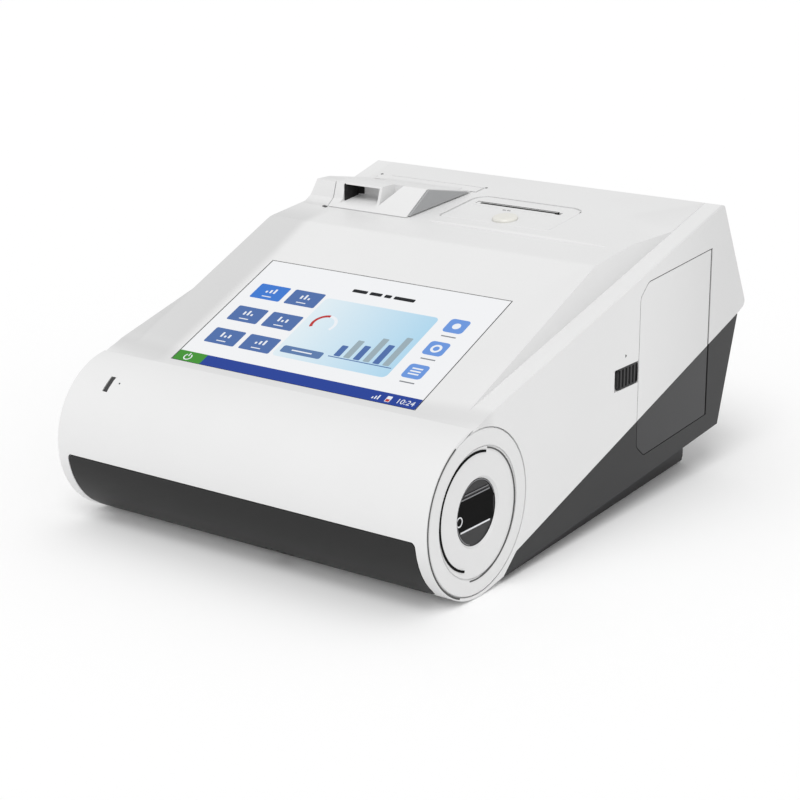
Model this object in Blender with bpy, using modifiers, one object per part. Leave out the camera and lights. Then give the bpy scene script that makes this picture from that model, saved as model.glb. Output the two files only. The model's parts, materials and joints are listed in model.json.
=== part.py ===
"""Portable blood gas analyzer: a benchtop instrument with a round front roll and a tilted touch display.

Metres, +Z up, front at -Y. The origin is on the table, under the middle of the case.
"""
import math

import bmesh
import bpy
from mathutils import Matrix, Vector

# Overall size
CASE_WIDTH = 0.238
CASE_DEPTH = 0.315
CASE_HEIGHT = 0.153
WALL = 0.003
GAP = 0.0003
SEAM = 0.0005
OVERRUN = 0.004
WELD = 0.00001
ARC_STEP = math.radians(7)
FINE_ARC_STEP = math.radians(20)
CROWN_STEPS = 3
FLAT_ANGLE = math.radians(0.1)

# Front roll
ROLL_RADIUS = 0.0434
ROLL_LIFT = 0.0003

# Top surfaces
RAIL_WIDTH = 0.0112
SCREEN_PITCH = math.radians(23.17)
SCREEN_SETBACK = 0.0464
SCREEN_DROP = 0.0002
RIM_RISE = 0.0016
BLEND_RADIUS = 0.050
SHELF_PITCH = math.radians(6.47)
CREASE_RADIUS = 0.018
FRAME_MARGIN = 0.0012
APRON_LENGTH = 0.011
FALL_SETBACK = 0.039
FALL_LENGTH = 0.031
FALL_WIDTH = 0.028

# Rear and base edges
TOP_SETBACK = 0.030
BELT_HEIGHT = 0.0902
LIP_DEPTH = 0.0082
LIP_DROP = 0.0041
SKIRT_REAR_SETBACK = 0.0276
SKIRT_REAR_HEIGHT = 0.0251
SKIRT_TOE_SETBACK = 0.0662
SKIRT_TOE_HEIGHT = 0.0036
SPLIT_KINK_SETBACK = 0.0772
SPLIT_KINK_HEIGHT = 0.0132
TOP_CORNER_RADIUS = 0.0036
BELT_CORNER_RADIUS = 0.0034
BELT_SHARP_REACH = 0.0013
PAN_INSET = 0.018
PAN_HEIGHT = 0.0026
PAN_FRONT_STEP = 0.001
PAN_REAR_SETBACK = 0.006
EDGE_ROUND = 0.0015

# Touch display
SCREEN_WIDTH = 0.1588
SCREEN_LENGTH = 0.0935
GLASS_THICKNESS = 0.0018
MODULE_THICKNESS = 0.0055
MODULE_MARGIN = 0.003
BRACKET_THICKNESS = 0.0015
BRACKET_MARGIN = 0.002
BRACKET_WINDOW_MARGIN = 0.015

# Side discs and scanner
DISC_RADIUS = 0.0415
DISC_THICKNESS = 0.0017
DISC_SEAT = 0.0020
DISC_CHAMFER = 0.0005
DISC_SEAM_RADIUS = 0.0328
DISC_SEAM_WIDTH = 0.0007
DISC_DISH = 0.0004
WINDOW_RADIUS = 0.0168
WINDOW_BEVEL = 0.0012
WINDOW_LAP = 0.0025
WINDOW_THICKNESS = 0.0015
SCANNER_LENGTH = 0.026
SCANNER_HEIGHT = 0.017
SCANNER_DEPTH = 0.024
SCANNER_LENS_RADIUS = 0.0022

# Front panel and speaker
PANEL_TOP_ANGLE = math.radians(-5.5)
PANEL_BOTTOM_ANGLE = math.radians(-63)
PANEL_END_MARGIN = 0.007
PANEL_THICKNESS = 0.0018
PANEL_CORNER_RADIUS = 0.011
GRILLE_ANGLE = math.radians(-55)
GRILLE_X = 0.014
GRILLE_PITCH = 0.0040
GRILLE_HOLE_RADIUS = 0.0008
GRILLE_COLUMNS = 7
SPEAKER_RADIUS = 0.012
SPEAKER_DEPTH = 0.006
SPEAKER_RIM_SHARE = 0.8
SPEAKER_HUB_SHARE = 0.32
SPEAKER_FLANGE_SHARE = 0.33
SPEAKER_BACK_SHARE = 0.6
GRILLE_ROW_SHARE = 0.5

# Indicator on the roll
INDICATOR_INSET = 0.0235
INDICATOR_ANGLE = math.radians(51)
INDICATOR_LENGTH = 0.0098
INDICATOR_WIDTH = 0.0034

# Side door and its latch
DOOR_FRONT_SETBACK = 0.1945
DOOR_LENGTH = 0.0780
DOOR_FRONT_BOTTOM = 0.036
DOOR_FRONT_TOP = 0.118
DOOR_REAR_BOTTOM = 0.0347
DOOR_REAR_TOP = 0.1300
DOOR_NOSE_BOTTOM = 0.0295
DOOR_NOSE_TOP = 0.1250
DOOR_CORNER_LENGTH = 0.0080
DOOR_ROUND = 0.004
DOOR_REAR_ROUND = 0
DOOR_THICKNESS = 0.003
HINGE_PIN_RADIUS = 0.0006
HINGE_PIN_LENGTH = 0.004
HINGE_CLEARANCE = 0.0001
CARRIER_INSET = 0.003
CARRIER_THICKNESS = 0.0015
CATCH_LENGTH = 0.0025
CATCH_REACH = 0.0045
LATCH_LENGTH = 0.0211
LATCH_HEIGHT = 0.0113
LATCH_BOTTOM = 0.0727
LATCH_THICKNESS = 0.0018
LATCH_TRAVEL = 0.003
LATCH_ROUND = 0.0022
LATCH_RIBS = 5
LATCH_RIB_WIDTH = 0.0016
LATCH_DOOR_MARGIN = 0.0010
LATCH_STEM_LENGTH = 0.006
LATCH_STEM_HEIGHT = 0.005
LATCH_HOOK_THICKNESS = 0.0018
LATCH_HOOK_LAP = 0.0010

# Fluid bay behind the door
BAY_DEPTH = 0.050
BAY_WALL = 0.0015
BAY_FRONT_MARGIN = 0.009
BAY_REAR_MARGIN = 0.010
BAY_RIM_LAP = 0.0024
BAY_RIM_GAP = 0.0008
BAY_BOTTOM = 0.042
BAY_TOP = 0.113
PACK_CLEARANCE = 0.001
PACK_DEPTH = 0.046
PACK_ROUND = 0.003
PACK_GRIP_WIDTH = 0.022
PACK_GRIP_DEPTH = 0.007
SEPTUM_RADIUS = 0.005
SEPTUM_LENGTH = 0.003
PUMP_RADIUS = 0.014
PUMP_DEPTH = 0.012
PUMP_WALL = 0.0015
ROTOR_RADIUS = 0.0095
ROTOR_ROLLER_RADIUS = 0.0024
ROTOR_ROLLERS = 3
MOTOR_RADIUS = 0.011
MOTOR_LENGTH = 0.020
SHAFT_RADIUS = 0.0015

# Card port and hood
HOOD_INSET = 0.0310
HOOD_RIGHT_FRONT_INSET = 0.0882
HOOD_RIGHT_REAR_INSET = 0.0950
HOOD_FRONT_SETBACK = 0.1930
HOOD_TOP_SETBACK = 0.2110
HOOD_REAR_SETBACK = 0.2590
HOOD_RISE = 0.0115
HOOD_WALL = 0.0022
HOOD_SIDE_THICKNESS = 0.0012
HOOD_FLAP_LENGTH = 0.009
HOOD_FLAP_THICKNESS = 0.0028
HOOD_FLAP_RISE = 0.0004
HOOD_PIN_LEFT_INSET = 0.0223
HOOD_PIN_RIGHT_INSET = 0.0954
HOOD_SIDE_MARGIN = 0.0004
SHOULDER_TOP_INSET = 0.0165
SHOULDER_FOOT_INSET = 0.0130
POCKET_LEFT_INSET = 0.0378
POCKET_RIGHT_INSET = 0.0625
POCKET_DEPTH = 0.021
POCKET_WALL = 0.0017
POCKET_ROOF = 0.0010
BLOCK_FOOT_SETBACK = 0.1977
BLOCK_TOP_SETBACK = 0.2015
BLOCK_DROP = 0.00015
BLOCK_SINK = 0.001
NOTCH_TOP_INSET = 0.0715
PORT_LEDGE = 0.0040
DECK_DEPTH = 0.018
DECK_STEP_LENGTH = 0.020
DECK_STEP_DEPTH = 0.0026
DECK_WALL = 0.0015
CONTACT_LENGTH = 0.014
CONTACT_WIDTH = 0.026
CONTACT_HEIGHT = 0.004
HEATER_LENGTH = 0.018
HEATER_WIDTH = 0.030
HEATER_HEIGHT = 0.0025

# Printer
COVER_LEFT = -0.0180
COVER_RIGHT = 0.0535
COVER_FRONT_SETBACK = 0.2050
COVER_LENGTH = 0.0415
COVER_THICKNESS = 0.0025
COVER_ROUND = 0.0088
COVER_RIM = 0.0013
SLOT_WIDTH = 0.0544
SLOT_LENGTH = 0.0036
SLOT_FROM_REAR = 0.0125
TUB_MARGIN = 0.0025
BUTTON_X = 0.0207
BUTTON_RADIUS = 0.0072
BUTTON_FROM_FRONT = 0.0088
BUTTON_HEIGHT = 0.0018
BUTTON_ROUND = 0.0010
BUTTON_FLANGE = 0.0012
TUB_WALL = 0.0015
PAPER_WIDTH = 0.050
PAPER_RADIUS = 0.0150
CORE_RADIUS = 0.0060
CORE_BORE = 0.0045
PLATEN_RADIUS = 0.0036
PLATEN_SHAFT_RADIUS = 0.0014
PLATEN_DROP = 0.0085
PLATEN_FROM_REAR = 0.0100
PAPER_FROM_FRONT = 0.0185
PAPER_DROP = 0.0250
GEAR_TEETH = 14
GEAR_RADIUS = 0.0050
GEAR_TOOTH = 0.0010
GEAR_WIDTH = 0.0030
GEAR_ROOT_SHARE = 0.3
GEAR_TIP_SHARE = 0.15
HEAD_THICKNESS = 0.0030
HEAD_HEIGHT = 0.010

# Inside the base
BOARD_WIDTH = 0.120
BOARD_LENGTH = 0.090
BOARD_THICKNESS = 0.0016
BOARD_SETBACK = 0.095
BOARD_CLEARANCE = 0.010
POST_HEIGHT = 0.008
POST_RADIUS = 0.0035
BATTERY_WIDTH = 0.036
BATTERY_LENGTH = 0.100
BATTERY_HEIGHT = 0.021
BATTERY_SETBACK = 0.090
BATTERY_INSET = 0.0410
BATTERY_ROUND = 0.002
BATTERY_COVER_MARGIN = 0.004
HEAT_SINK_SIZE = 0.024
HEAT_SINK_HEIGHT = 0.007
HEAT_SINK_FINS = 5

# Rear sockets
SOCKET_PANEL_WIDTH = 0.110
SOCKET_PANEL_HEIGHT = 0.030
SOCKET_PANEL_THICKNESS = 0.0015
SOCKET_PANEL_RISE = 0.026
SOCKET_DEPTH = 0.012
SOCKET_WALL = 0.0008
TONGUE_SHARE = 0.8
JACK_PIN_RADIUS = 0.00104
JACK_WALL = 0.0012
POWER_JACK_X = 0.040
POWER_JACK_RADIUS = 0.0055
NETWORK_X = 0.014
NETWORK_WIDTH = 0.0155
NETWORK_HEIGHT = 0.0125
USB_XS = (-0.010, -0.028)
USB_WIDTH = 0.0135
USB_HEIGHT = 0.0062
VENT_SLOTS = 4
VENT_PITCH = 0.009
VENT_WIDTH = 0.003
VENT_HEIGHT = 0.026
VENT_ROUND_SHARE = 0.33
VENT_ARC_STEP = math.radians(45)

# Feet and screws
FOOT_RADIUS = 0.0065
FOOT_GRIP = 0.0012
FOOT_INSET_X = 0.022
FOOT_FRONT_SETBACK = 0.082
FOOT_REAR_SETBACK = 0.048
SCREW_RADIUS = 0.0028
SCREW_SETBACK = 0.016
SCREW_DEPTH = 0.002

# Colours
WHITE = (0.86, 0.87, 0.88, 1)
SOFT_WHITE = (0.82, 0.81, 0.76, 1)
CHARCOAL = (0.045, 0.045, 0.047, 1)
DARK = (0.065, 0.066, 0.070, 1)
BLACK = (0.010, 0.010, 0.011, 1)
BOARD_GREEN = (0.02, 0.13, 0.06, 1)
STEEL = (0.60, 0.61, 0.62, 1)
GREY = (0.40, 0.40, 0.41, 1)
PAPER = (0.85, 0.84, 0.80, 1)
BLUE = (0.05, 0.16, 0.42, 1)

# Reference places worked out from the sizes above
FRONT_Y = -CASE_DEPTH / 2
REAR_Y = CASE_DEPTH / 2
SIDE_X = CASE_WIDTH / 2
ROLL_Y = FRONT_Y + ROLL_RADIUS
ROLL_Z = ROLL_RADIUS + ROLL_LIFT
RAIL_X = SIDE_X - RAIL_WIDTH
PAN_WIDTH = CASE_WIDTH - PAN_INSET * 2
INDICATOR_X = INDICATOR_INSET - SIDE_X
HOOD_LEFT = HOOD_INSET - SIDE_X
HOOD_RIGHT_FRONT = HOOD_RIGHT_FRONT_INSET - SIDE_X
HOOD_RIGHT_REAR = HOOD_RIGHT_REAR_INSET - SIDE_X
HOOD_PIN_LEFT = HOOD_PIN_LEFT_INSET - SIDE_X
HOOD_PIN_RIGHT = HOOD_PIN_RIGHT_INSET - SIDE_X
SHOULDER_TOP = SHOULDER_TOP_INSET - SIDE_X
SHOULDER_FOOT = SHOULDER_FOOT_INSET - SIDE_X
POCKET_LEFT = POCKET_LEFT_INSET - SIDE_X
POCKET_RIGHT = POCKET_RIGHT_INSET - SIDE_X
NOTCH_TOP_RIGHT = NOTCH_TOP_INSET - SIDE_X
BATTERY_X = BATTERY_INSET - SIDE_X
BOARD_X = BATTERY_X + (BATTERY_WIDTH + BOARD_WIDTH) / 2 + BOARD_CLEARANCE
SIDE_PLACE = Matrix(((0, 0, 1, 0), (1, 0, 0, 0), (0, 1, 0, 0), (0, 0, 0, 1)))
TOP_CORNER = Vector((REAR_Y - TOP_SETBACK, CASE_HEIGHT))
BELT_CORNER = Vector((REAR_Y + BELT_SHARP_REACH, BELT_HEIGHT))
LIP_CORNER = Vector((REAR_Y - LIP_DEPTH, BELT_HEIGHT - LIP_DROP))
SKIRT_REAR = Vector((REAR_Y - SKIRT_REAR_SETBACK, SKIRT_REAR_HEIGHT))
SKIRT_TOE = Vector((FRONT_Y + SKIRT_TOE_SETBACK, SKIRT_TOE_HEIGHT))
SPLIT_KINK = Vector((FRONT_Y + SPLIT_KINK_SETBACK, SPLIT_KINK_HEIGHT))
SCREEN_EDGE = Vector((FRONT_Y + SCREEN_SETBACK, ROLL_Z + ROLL_RADIUS - SCREEN_DROP))


def new_collection(name):
    made = bpy.data.collections.new(name)
    bpy.context.scene.collection.children.link(made)
    return made


def material(name, colour, roughness, metallic=0.0):
    made = bpy.data.materials.new(name)
    made.use_nodes = True
    shader = made.node_tree.nodes["Principled BSDF"]
    shader.inputs["Base Color"].default_value = colour
    shader.inputs["Roughness"].default_value = roughness
    shader.inputs["Metallic"].default_value = metallic
    return made


def finish(obj, name, colour, roughness, metallic=0.0, smooth=True):
    """Puts an object among the parts, under its name and with its own material."""
    obj.name = name
    obj.data.materials.clear()
    obj.data.materials.append(material(name + "_finish", colour, roughness, metallic))
    if obj.name not in PARTS.objects:
        PARTS.objects.link(obj)
    if smooth:
        obj.data.shade_smooth()
        obj.data.set_sharp_from_angle(angle=math.radians(35))
    return obj


def as_cutter(obj):
    CUTTERS.objects.link(obj)
    obj.display_type = "WIRE"
    obj.hide_render = True
    return obj


def object_from(bm, name, place=None):
    if place is not None:
        bmesh.ops.transform(bm, matrix=place, verts=bm.verts)
    bmesh.ops.recalc_face_normals(bm, faces=bm.faces)
    if bm.calc_volume(signed=True) < 0:
        bmesh.ops.reverse_faces(bm, faces=bm.faces)
    mesh = bpy.data.meshes.new(name)
    bm.to_mesh(mesh)
    bm.free()
    return bpy.data.objects.new(name, mesh)


def box(name, low, high, place=None):
    low, high = Vector(low), Vector(high)
    bm = bmesh.new()
    bmesh.ops.create_cube(bm, size=1)
    bmesh.ops.scale(bm, vec=high - low, verts=bm.verts)
    bmesh.ops.translate(bm, vec=(low + high) / 2, verts=bm.verts)
    return object_from(bm, name, place)


def cylinder(name, radius, low, high, place=None, segments=32, top_radius=None):
    """A cylinder or cone along local Z, from low to high."""
    bm = bmesh.new()
    top = radius if top_radius is None else top_radius
    bmesh.ops.create_cone(bm, cap_ends=True, segments=segments, radius1=radius, radius2=top, depth=high - low)
    bmesh.ops.translate(bm, vec=(0, 0, (low + high) / 2), verts=bm.verts)
    return object_from(bm, name, place)


def prism(name, points, low, high, place=None):
    """A flat outline in local X and Y, filled and extruded along local Z from low to high."""
    curve = bpy.data.curves.new(name + "_outline", "CURVE")
    curve.dimensions = "2D"
    curve.fill_mode = "BOTH"
    curve.extrude = (high - low) / 2
    spline = curve.splines.new("POLY")
    spline.points.add(len(points) - 1)
    for point, (u, v) in zip(spline.points, points):
        point.co = (u, v, 0, 1)
    spline.use_cyclic_u = True
    outline = bpy.data.objects.new(name + "_outline", curve)
    bpy.context.scene.collection.objects.link(outline)
    bpy.context.view_layer.update()
    mesh = bpy.data.meshes.new_from_object(outline.evaluated_get(bpy.context.evaluated_depsgraph_get()))
    bm = bmesh.new()
    bm.from_mesh(mesh)
    bpy.data.objects.remove(outline, do_unlink=True)
    bmesh.ops.remove_doubles(bm, verts=bm.verts, dist=WELD)
    bmesh.ops.dissolve_limit(bm, angle_limit=FLAT_ANGLE, verts=bm.verts, edges=bm.edges)
    bmesh.ops.translate(bm, vec=(0, 0, (low + high) / 2), verts=bm.verts)
    return object_from(bm, name, place)


def turned(name, profile, place=None, steps=32):
    """A profile of (radius, height) points, top to bottom, turned round local Z by a Screw modifier."""
    mesh = bpy.data.meshes.new(name)
    closed = profile[0] == profile[-1]
    points = profile[:-1] if closed else profile
    edges = [(i, i + 1) for i in range(len(points) - 1)]
    if closed:
        edges.append((len(points) - 1, 0))
    mesh.from_pydata([(r, 0, z) for r, z in points], edges, [])
    obj = bpy.data.objects.new(name, mesh)
    screw = obj.modifiers.new("turn", "SCREW")
    screw.steps = steps
    screw.render_steps = steps
    screw.use_merge_vertices = True
    screw.merge_threshold = WELD
    if place is not None:
        obj.matrix_world = place
    return obj


def boolean(obj, tool, operation="DIFFERENCE"):
    modifier = obj.modifiers.new(tool.name, "BOOLEAN")
    modifier.operation = operation
    modifier.object = tool
    if tool.name not in CUTTERS.objects:
        as_cutter(tool)
    return obj


def bevel(obj, width, segments=2, angle=math.radians(40)):
    modifier = obj.modifiers.new("rounded_edges", "BEVEL")
    modifier.width = width
    modifier.segments = segments
    modifier.limit_method = "ANGLE"
    modifier.angle_limit = angle
    modifier.use_clamp_overlap = True
    return obj


def settle(obj):
    """Turns an object's modifiers into its mesh."""
    if obj.name not in bpy.context.scene.collection.all_objects:
        bpy.context.scene.collection.objects.link(obj)
    bpy.context.view_layer.update()
    mesh = bpy.data.meshes.new_from_object(obj.evaluated_get(bpy.context.evaluated_depsgraph_get()))
    obj.modifiers.clear()
    obj.data = mesh
    bm = bmesh.new()
    bm.from_mesh(mesh)
    bmesh.ops.remove_doubles(bm, verts=bm.verts, dist=WELD / 10)
    bmesh.ops.dissolve_limit(bm, angle_limit=FLAT_ANGLE, verts=bm.verts, edges=bm.edges)
    bm.to_mesh(mesh)
    bm.free()
    return obj


def set_origin(obj, point):
    """Moves an object's origin to a joint's axis, with its shape left in place."""
    shift = Vector(point)
    obj.data.transform(Matrix.Translation(-shift) @ obj.matrix_world)
    obj.matrix_world = Matrix.Translation(shift)
    return obj


def arc(centre, radius, start, end, step=ARC_STEP):
    count = max(1, math.ceil(abs(end - start) / step))
    angles = [start + (end - start) * i / count for i in range(count + 1)]
    return [Vector((centre[0] + radius * math.cos(a), centre[1] + radius * math.sin(a))) for a in angles]


def rounded(corners, step=FINE_ARC_STEP):
    """A closed outline through (u, v, radius) corners, each rounded by an arc of its radius."""
    points = []
    for index, (u, v, radius) in enumerate(corners):
        here = Vector((u, v))
        before = (Vector(corners[index - 1][:2]) - here).normalized()
        after = (Vector(corners[(index + 1) % len(corners)][:2]) - here).normalized()
        if radius == 0:
            points.append(here)
            continue
        half = before.angle(after) / 2
        reach = radius / math.tan(half)
        centre = here + (before + after).normalized() * radius / math.sin(half)
        first = here + before * reach - centre
        turn = first.angle_signed(here + after * reach - centre)
        count = max(2, math.ceil(abs(turn) / step))
        for i in range(count + 1):
            spin = Matrix.Rotation(-turn * i / count, 2)
            points.append(centre + spin @ first)
    return points


def inset_outline(points, distance):
    """A closed counterclockwise outline moved inwards by a distance."""
    moved = []
    for index, here in enumerate(points):
        before = (here - points[index - 1]).normalized()
        after = (points[(index + 1) % len(points)] - here).normalized()
        side = Vector((-before.y, before.x)) + Vector((-after.y, after.x))
        side.normalize()
        moved.append(here + side * distance / side.dot(Vector((-before.y, before.x))))
    return moved


def crossing(p, p_angle, q, q_angle):
    """The point where two lines cross, each given by a point and its angle."""
    a = Vector((math.cos(p_angle), math.sin(p_angle)))
    b = Vector((math.cos(q_angle), math.sin(q_angle)))
    gap = q - p
    return p + a * (gap.x * b.y - gap.y * b.x) / (a.x * b.y - a.y * b.x)


def tangent_angle(point, side):
    """The angle round the roll where a line from a point touches it, on the side +1 or -1."""
    reach = point - Vector((ROLL_Y, ROLL_Z))
    return math.atan2(reach.y, reach.x) + side * math.acos(ROLL_RADIUS / reach.length)


def screen_place():
    """Local Y runs up the display, local Z out of it, from the middle of the display's front edge."""
    return Matrix.Translation((0, SCREEN_EDGE.x, SCREEN_EDGE.y)) @ Matrix.Rotation(SCREEN_PITCH, 4, "X")


def shelf_place(y):
    """Local Y runs back along the shelf and local Z out of it, at a distance back in the world."""
    height = TOP_CORNER.y - (TOP_CORNER.x - y) * math.tan(SHELF_PITCH)
    return Matrix.Translation((0, y, height)) @ Matrix.Rotation(SHELF_PITCH, 4, "X")


def shelf_height(y):
    return shelf_place(y).translation.z


def case_outline():
    """The side view of the case, counterclockwise from the lip under the rear edge."""
    normal = Vector((-math.sin(SCREEN_PITCH), math.cos(SCREEN_PITCH)))
    rim = SCREEN_EDGE + normal * RIM_RISE
    centre = Vector((ROLL_Y, ROLL_Z))
    lean = math.acos((normal.dot(rim - centre) + BLEND_RADIUS) / (ROLL_RADIUS + BLEND_RADIUS))
    normal_angle = math.atan2(normal.y, normal.x)
    touch = normal_angle - lean
    blend = centre + Vector((math.cos(touch), math.sin(touch))) * (ROLL_RADIUS + BLEND_RADIUS)
    crease = crossing(rim, SCREEN_PITCH, TOP_CORNER, SHELF_PITCH)
    foot = blend - normal * BLEND_RADIUS
    top = rounded([(*foot, 0), (*crease, CREASE_RADIUS), (*TOP_CORNER, TOP_CORNER_RADIUS),
                   (*BELT_CORNER, BELT_CORNER_RADIUS), (*LIP_CORNER, 0)])
    rear_over = list(reversed(top[1:]))
    blend_arc = arc(blend, BLEND_RADIUS, normal_angle + math.pi, touch + math.pi)
    toe = tangent_angle(SKIRT_TOE, -1)
    roll_arc = arc(centre, ROLL_RADIUS, touch, math.tau + toe)
    return rear_over + blend_arc + roll_arc[1:] + [SKIRT_TOE, SKIRT_REAR]


def split_outline(gap):
    """The side view of everything under the line that parts the white shell from the dark base."""
    slope = (LIP_CORNER - SPLIT_KINK).normalized()
    drop = Vector((slope.y, -slope.x)) * gap
    toe_slope = (SPLIT_KINK - SKIRT_TOE).normalized()
    back = Vector((toe_slope.y, -toe_slope.x)) * gap
    kink = crossing(SPLIT_KINK + drop, math.atan2(slope.y, slope.x),
                    SPLIT_KINK + back, math.atan2(toe_slope.y, toe_slope.x))
    below = SKIRT_TOE + back - toe_slope * SKIRT_REAR_HEIGHT
    behind = LIP_CORNER + drop + slope * SKIRT_REAR_HEIGHT
    return [kink, below, Vector((behind.x, below.y)), behind]


def rail_cutter(name, inset):
    """The space over one rail, outside the raised middle of the case, and its mirror image."""
    touch = tangent_angle(TOP_CORNER, 1)
    angle = touch - math.pi / 2
    along = Vector((math.cos(angle), math.sin(angle)))
    down = Vector((along.y, -along.x)) * inset
    start = Vector((ROLL_Y, ROLL_Z)) + Vector((math.cos(touch), math.sin(touch))) * ROLL_RADIUS + down
    front = start - along * ROLL_RADIUS
    rear = start + along * CASE_DEPTH
    up = Vector((0, CASE_HEIGHT))
    outline = [front, rear, rear + up, front + up]
    inner = RAIL_X - inset
    cutter = prism(name, outline, inner, SIDE_X + OVERRUN, SIDE_PLACE)
    mirror = cutter.modifiers.new("other_side", "MIRROR")
    mirror.merge_threshold = WELD
    return cutter


def case_form(name, inset):
    """The closed body of the case, moved inwards by an inset."""
    outline = case_outline()
    if inset > 0:
        outline = inset_outline(outline, inset)
    form = prism(name, outline, -SIDE_X + inset, SIDE_X - inset, SIDE_PLACE)
    return boolean(form, rail_cutter(name + "_rails", inset))


def shelf_side_cutter(name, inset):
    """The falling shoulder on each rear side of the shelf, where it runs down to the rail."""
    rail_touch = tangent_angle(TOP_CORNER, 1)
    rail_angle = rail_touch - math.pi / 2
    rail_start = Vector((ROLL_Y, ROLL_Z)) + Vector((math.cos(rail_touch), math.sin(rail_touch))) * ROLL_RADIUS
    merge_y = TOP_CORNER.x - FALL_SETBACK
    front_y = merge_y - FALL_LENGTH

    def rail_z(y):
        return rail_start.y + (y - rail_start.x) * math.tan(rail_angle) + SEAM

    merge = Vector((RAIL_X, merge_y, rail_z(merge_y)))
    inner = Vector((RAIL_X - FALL_WIDTH, merge_y, shelf_height(merge_y)))
    front = Vector((RAIL_X, front_y, shelf_height(front_y) - EDGE_ROUND))
    rear_plane = (merge, Vector((RAIL_X, TOP_CORNER.x, rail_z(TOP_CORNER.x))), inner)
    front_plane = (front, merge, inner)
    bm = bmesh.new()
    bmesh.ops.create_cube(bm, size=2)
    bmesh.ops.scale(bm, vec=(FALL_WIDTH, CASE_DEPTH / 4, HOOD_RISE * 2), verts=bm.verts)
    bmesh.ops.translate(bm, vec=(RAIL_X + SEAM * 2 - FALL_WIDTH, merge_y, CASE_HEIGHT), verts=bm.verts)
    for a, b, c in (rear_plane, front_plane):
        normal = (b - a).cross(c - a).normalized()
        if normal.z < 0:
            normal.negate()
        cut = bmesh.ops.bisect_plane(bm, geom=bm.verts[:] + bm.edges[:] + bm.faces[:], plane_co=a,
                                     plane_no=normal, clear_inner=True)
        edges = [e for e in cut["geom_cut"] if isinstance(e, bmesh.types.BMEdge)]
        bmesh.ops.holes_fill(bm, edges=edges)
    cutter = object_from(bm, name, Matrix.Translation((0, 0, -inset)))
    mirror = cutter.modifiers.new("other_side", "MIRROR")
    mirror.merge_threshold = WELD
    return cutter


def screen_well():
    """The shallow hollow that slopes from the rim of the case down to the display's edges."""
    bm = bmesh.new()
    bmesh.ops.create_cube(bm, size=1)
    reach = 2
    crease = crossing(SCREEN_EDGE, SCREEN_PITCH, TOP_CORNER, SHELF_PITCH)
    brow = (crease - SCREEN_EDGE).length - SCREEN_LENGTH
    side = RAIL_X - FRAME_MARGIN - SCREEN_WIDTH / 2
    for vert in bm.verts:
        spread = reach if vert.co.z > 0 else 0
        right = 1 if vert.co.x > 0 else -1
        vert.co.x = right * (SCREEN_WIDTH / 2 + side * spread)
        vert.co.y = SCREEN_LENGTH + brow * spread if vert.co.y > 0 else -APRON_LENGTH * spread
        vert.co.z = RIM_RISE * spread
    return object_from(bm, "screen_well", screen_place())


def door_outline(grow):
    """The side view of the door, or of its opening when grown by the seam."""
    front = FRONT_Y + DOOR_FRONT_SETBACK
    rear = front + DOOR_LENGTH
    nose = front + DOOR_CORNER_LENGTH
    outline = rounded([(front, DOOR_FRONT_TOP, DOOR_ROUND), (front, DOOR_FRONT_BOTTOM, DOOR_ROUND),
                       (nose, DOOR_NOSE_BOTTOM, DOOR_ROUND), (rear, DOOR_REAR_BOTTOM, DOOR_REAR_ROUND),
                       (rear, DOOR_REAR_TOP, DOOR_REAR_ROUND), (nose, DOOR_NOSE_TOP, DOOR_ROUND)])
    return inset_outline(outline, -grow)


def side_disc_place(side):
    """Local Z points out of the side of the case, from the roll's axis on its outer face."""
    turn = Matrix.Rotation(math.pi / 2, 4, "Y") if side > 0 else Matrix.Rotation(-math.pi / 2, 4, "Y")
    return Matrix.Translation((side * SIDE_X, ROLL_Y, ROLL_Z)) @ turn


def roll_place(angle, x=0):
    """Local X runs along the roll and local Z out of its surface, at an angle above the level."""
    out = Vector((0, -math.cos(angle), math.sin(angle)))
    up = Vector((0, math.sin(angle), math.cos(angle)))
    place = Matrix((Vector((1, 0, 0)), up, out)).transposed().to_4x4()
    place.translation = Vector((x, ROLL_Y, ROLL_Z)) + out * ROLL_RADIUS
    return place


def panel_sector(name, radius, thickness, end_margin, gap):
    """A curved band round the roll, from the panel's top edge to its bottom edge."""
    start = math.pi - PANEL_TOP_ANGLE + gap / radius
    end = math.pi - PANEL_BOTTOM_ANGLE - gap / radius
    outer = arc((ROLL_Y, ROLL_Z), radius, start, end)
    inner = arc((ROLL_Y, ROLL_Z), radius - thickness, end, start)
    half = SIDE_X - end_margin
    return prism(name, outer + inner, -half, half, SIDE_PLACE)


def panel_corner_cutter(name, end_margin, grow):
    """Two blocks that round the lower corners of the front panel."""
    place = roll_place((PANEL_TOP_ANGLE + PANEL_BOTTOM_ANGLE) / 2)
    half = SIDE_X - end_margin
    height = ROLL_RADIUS * math.sin((PANEL_TOP_ANGLE - PANEL_BOTTOM_ANGLE) / 2) + grow
    round_low = PANEL_CORNER_RADIUS + grow
    outline = rounded([(half, height, PANEL_CORNER_RADIUS / 4), (-half, height, PANEL_CORNER_RADIUS / 4),
                       (-half, -height, round_low), (half, -height, round_low)])
    return prism(name, outline, -ROLL_RADIUS, ROLL_RADIUS / 2, place)


def hood_corners(lower, lift=0):
    """The hood's wedge in the side view, as its front, rear and crest, lifted or sunk a little into the shelf."""
    crest = FRONT_Y + HOOD_TOP_SETBACK
    front = FRONT_Y + HOOD_FRONT_SETBACK
    rear = FRONT_Y + HOOD_REAR_SETBACK - HOOD_FLAP_LENGTH
    share = 1 + lower / HOOD_RISE
    front = crest + (front - crest) * share
    rear = crest + (rear - crest) * share
    return [Vector((front, shelf_height(front) - lower + lift)),
            Vector((rear, shelf_height(rear) - lower + lift)),
            Vector((crest, shelf_height(crest) + HOOD_RISE + lift))]


def hood_outline(lift):
    front, rear, crest = hood_corners(0, lift)
    return rounded([(*front, 0), (*rear, 0), (*crest, EDGE_ROUND)])


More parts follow.
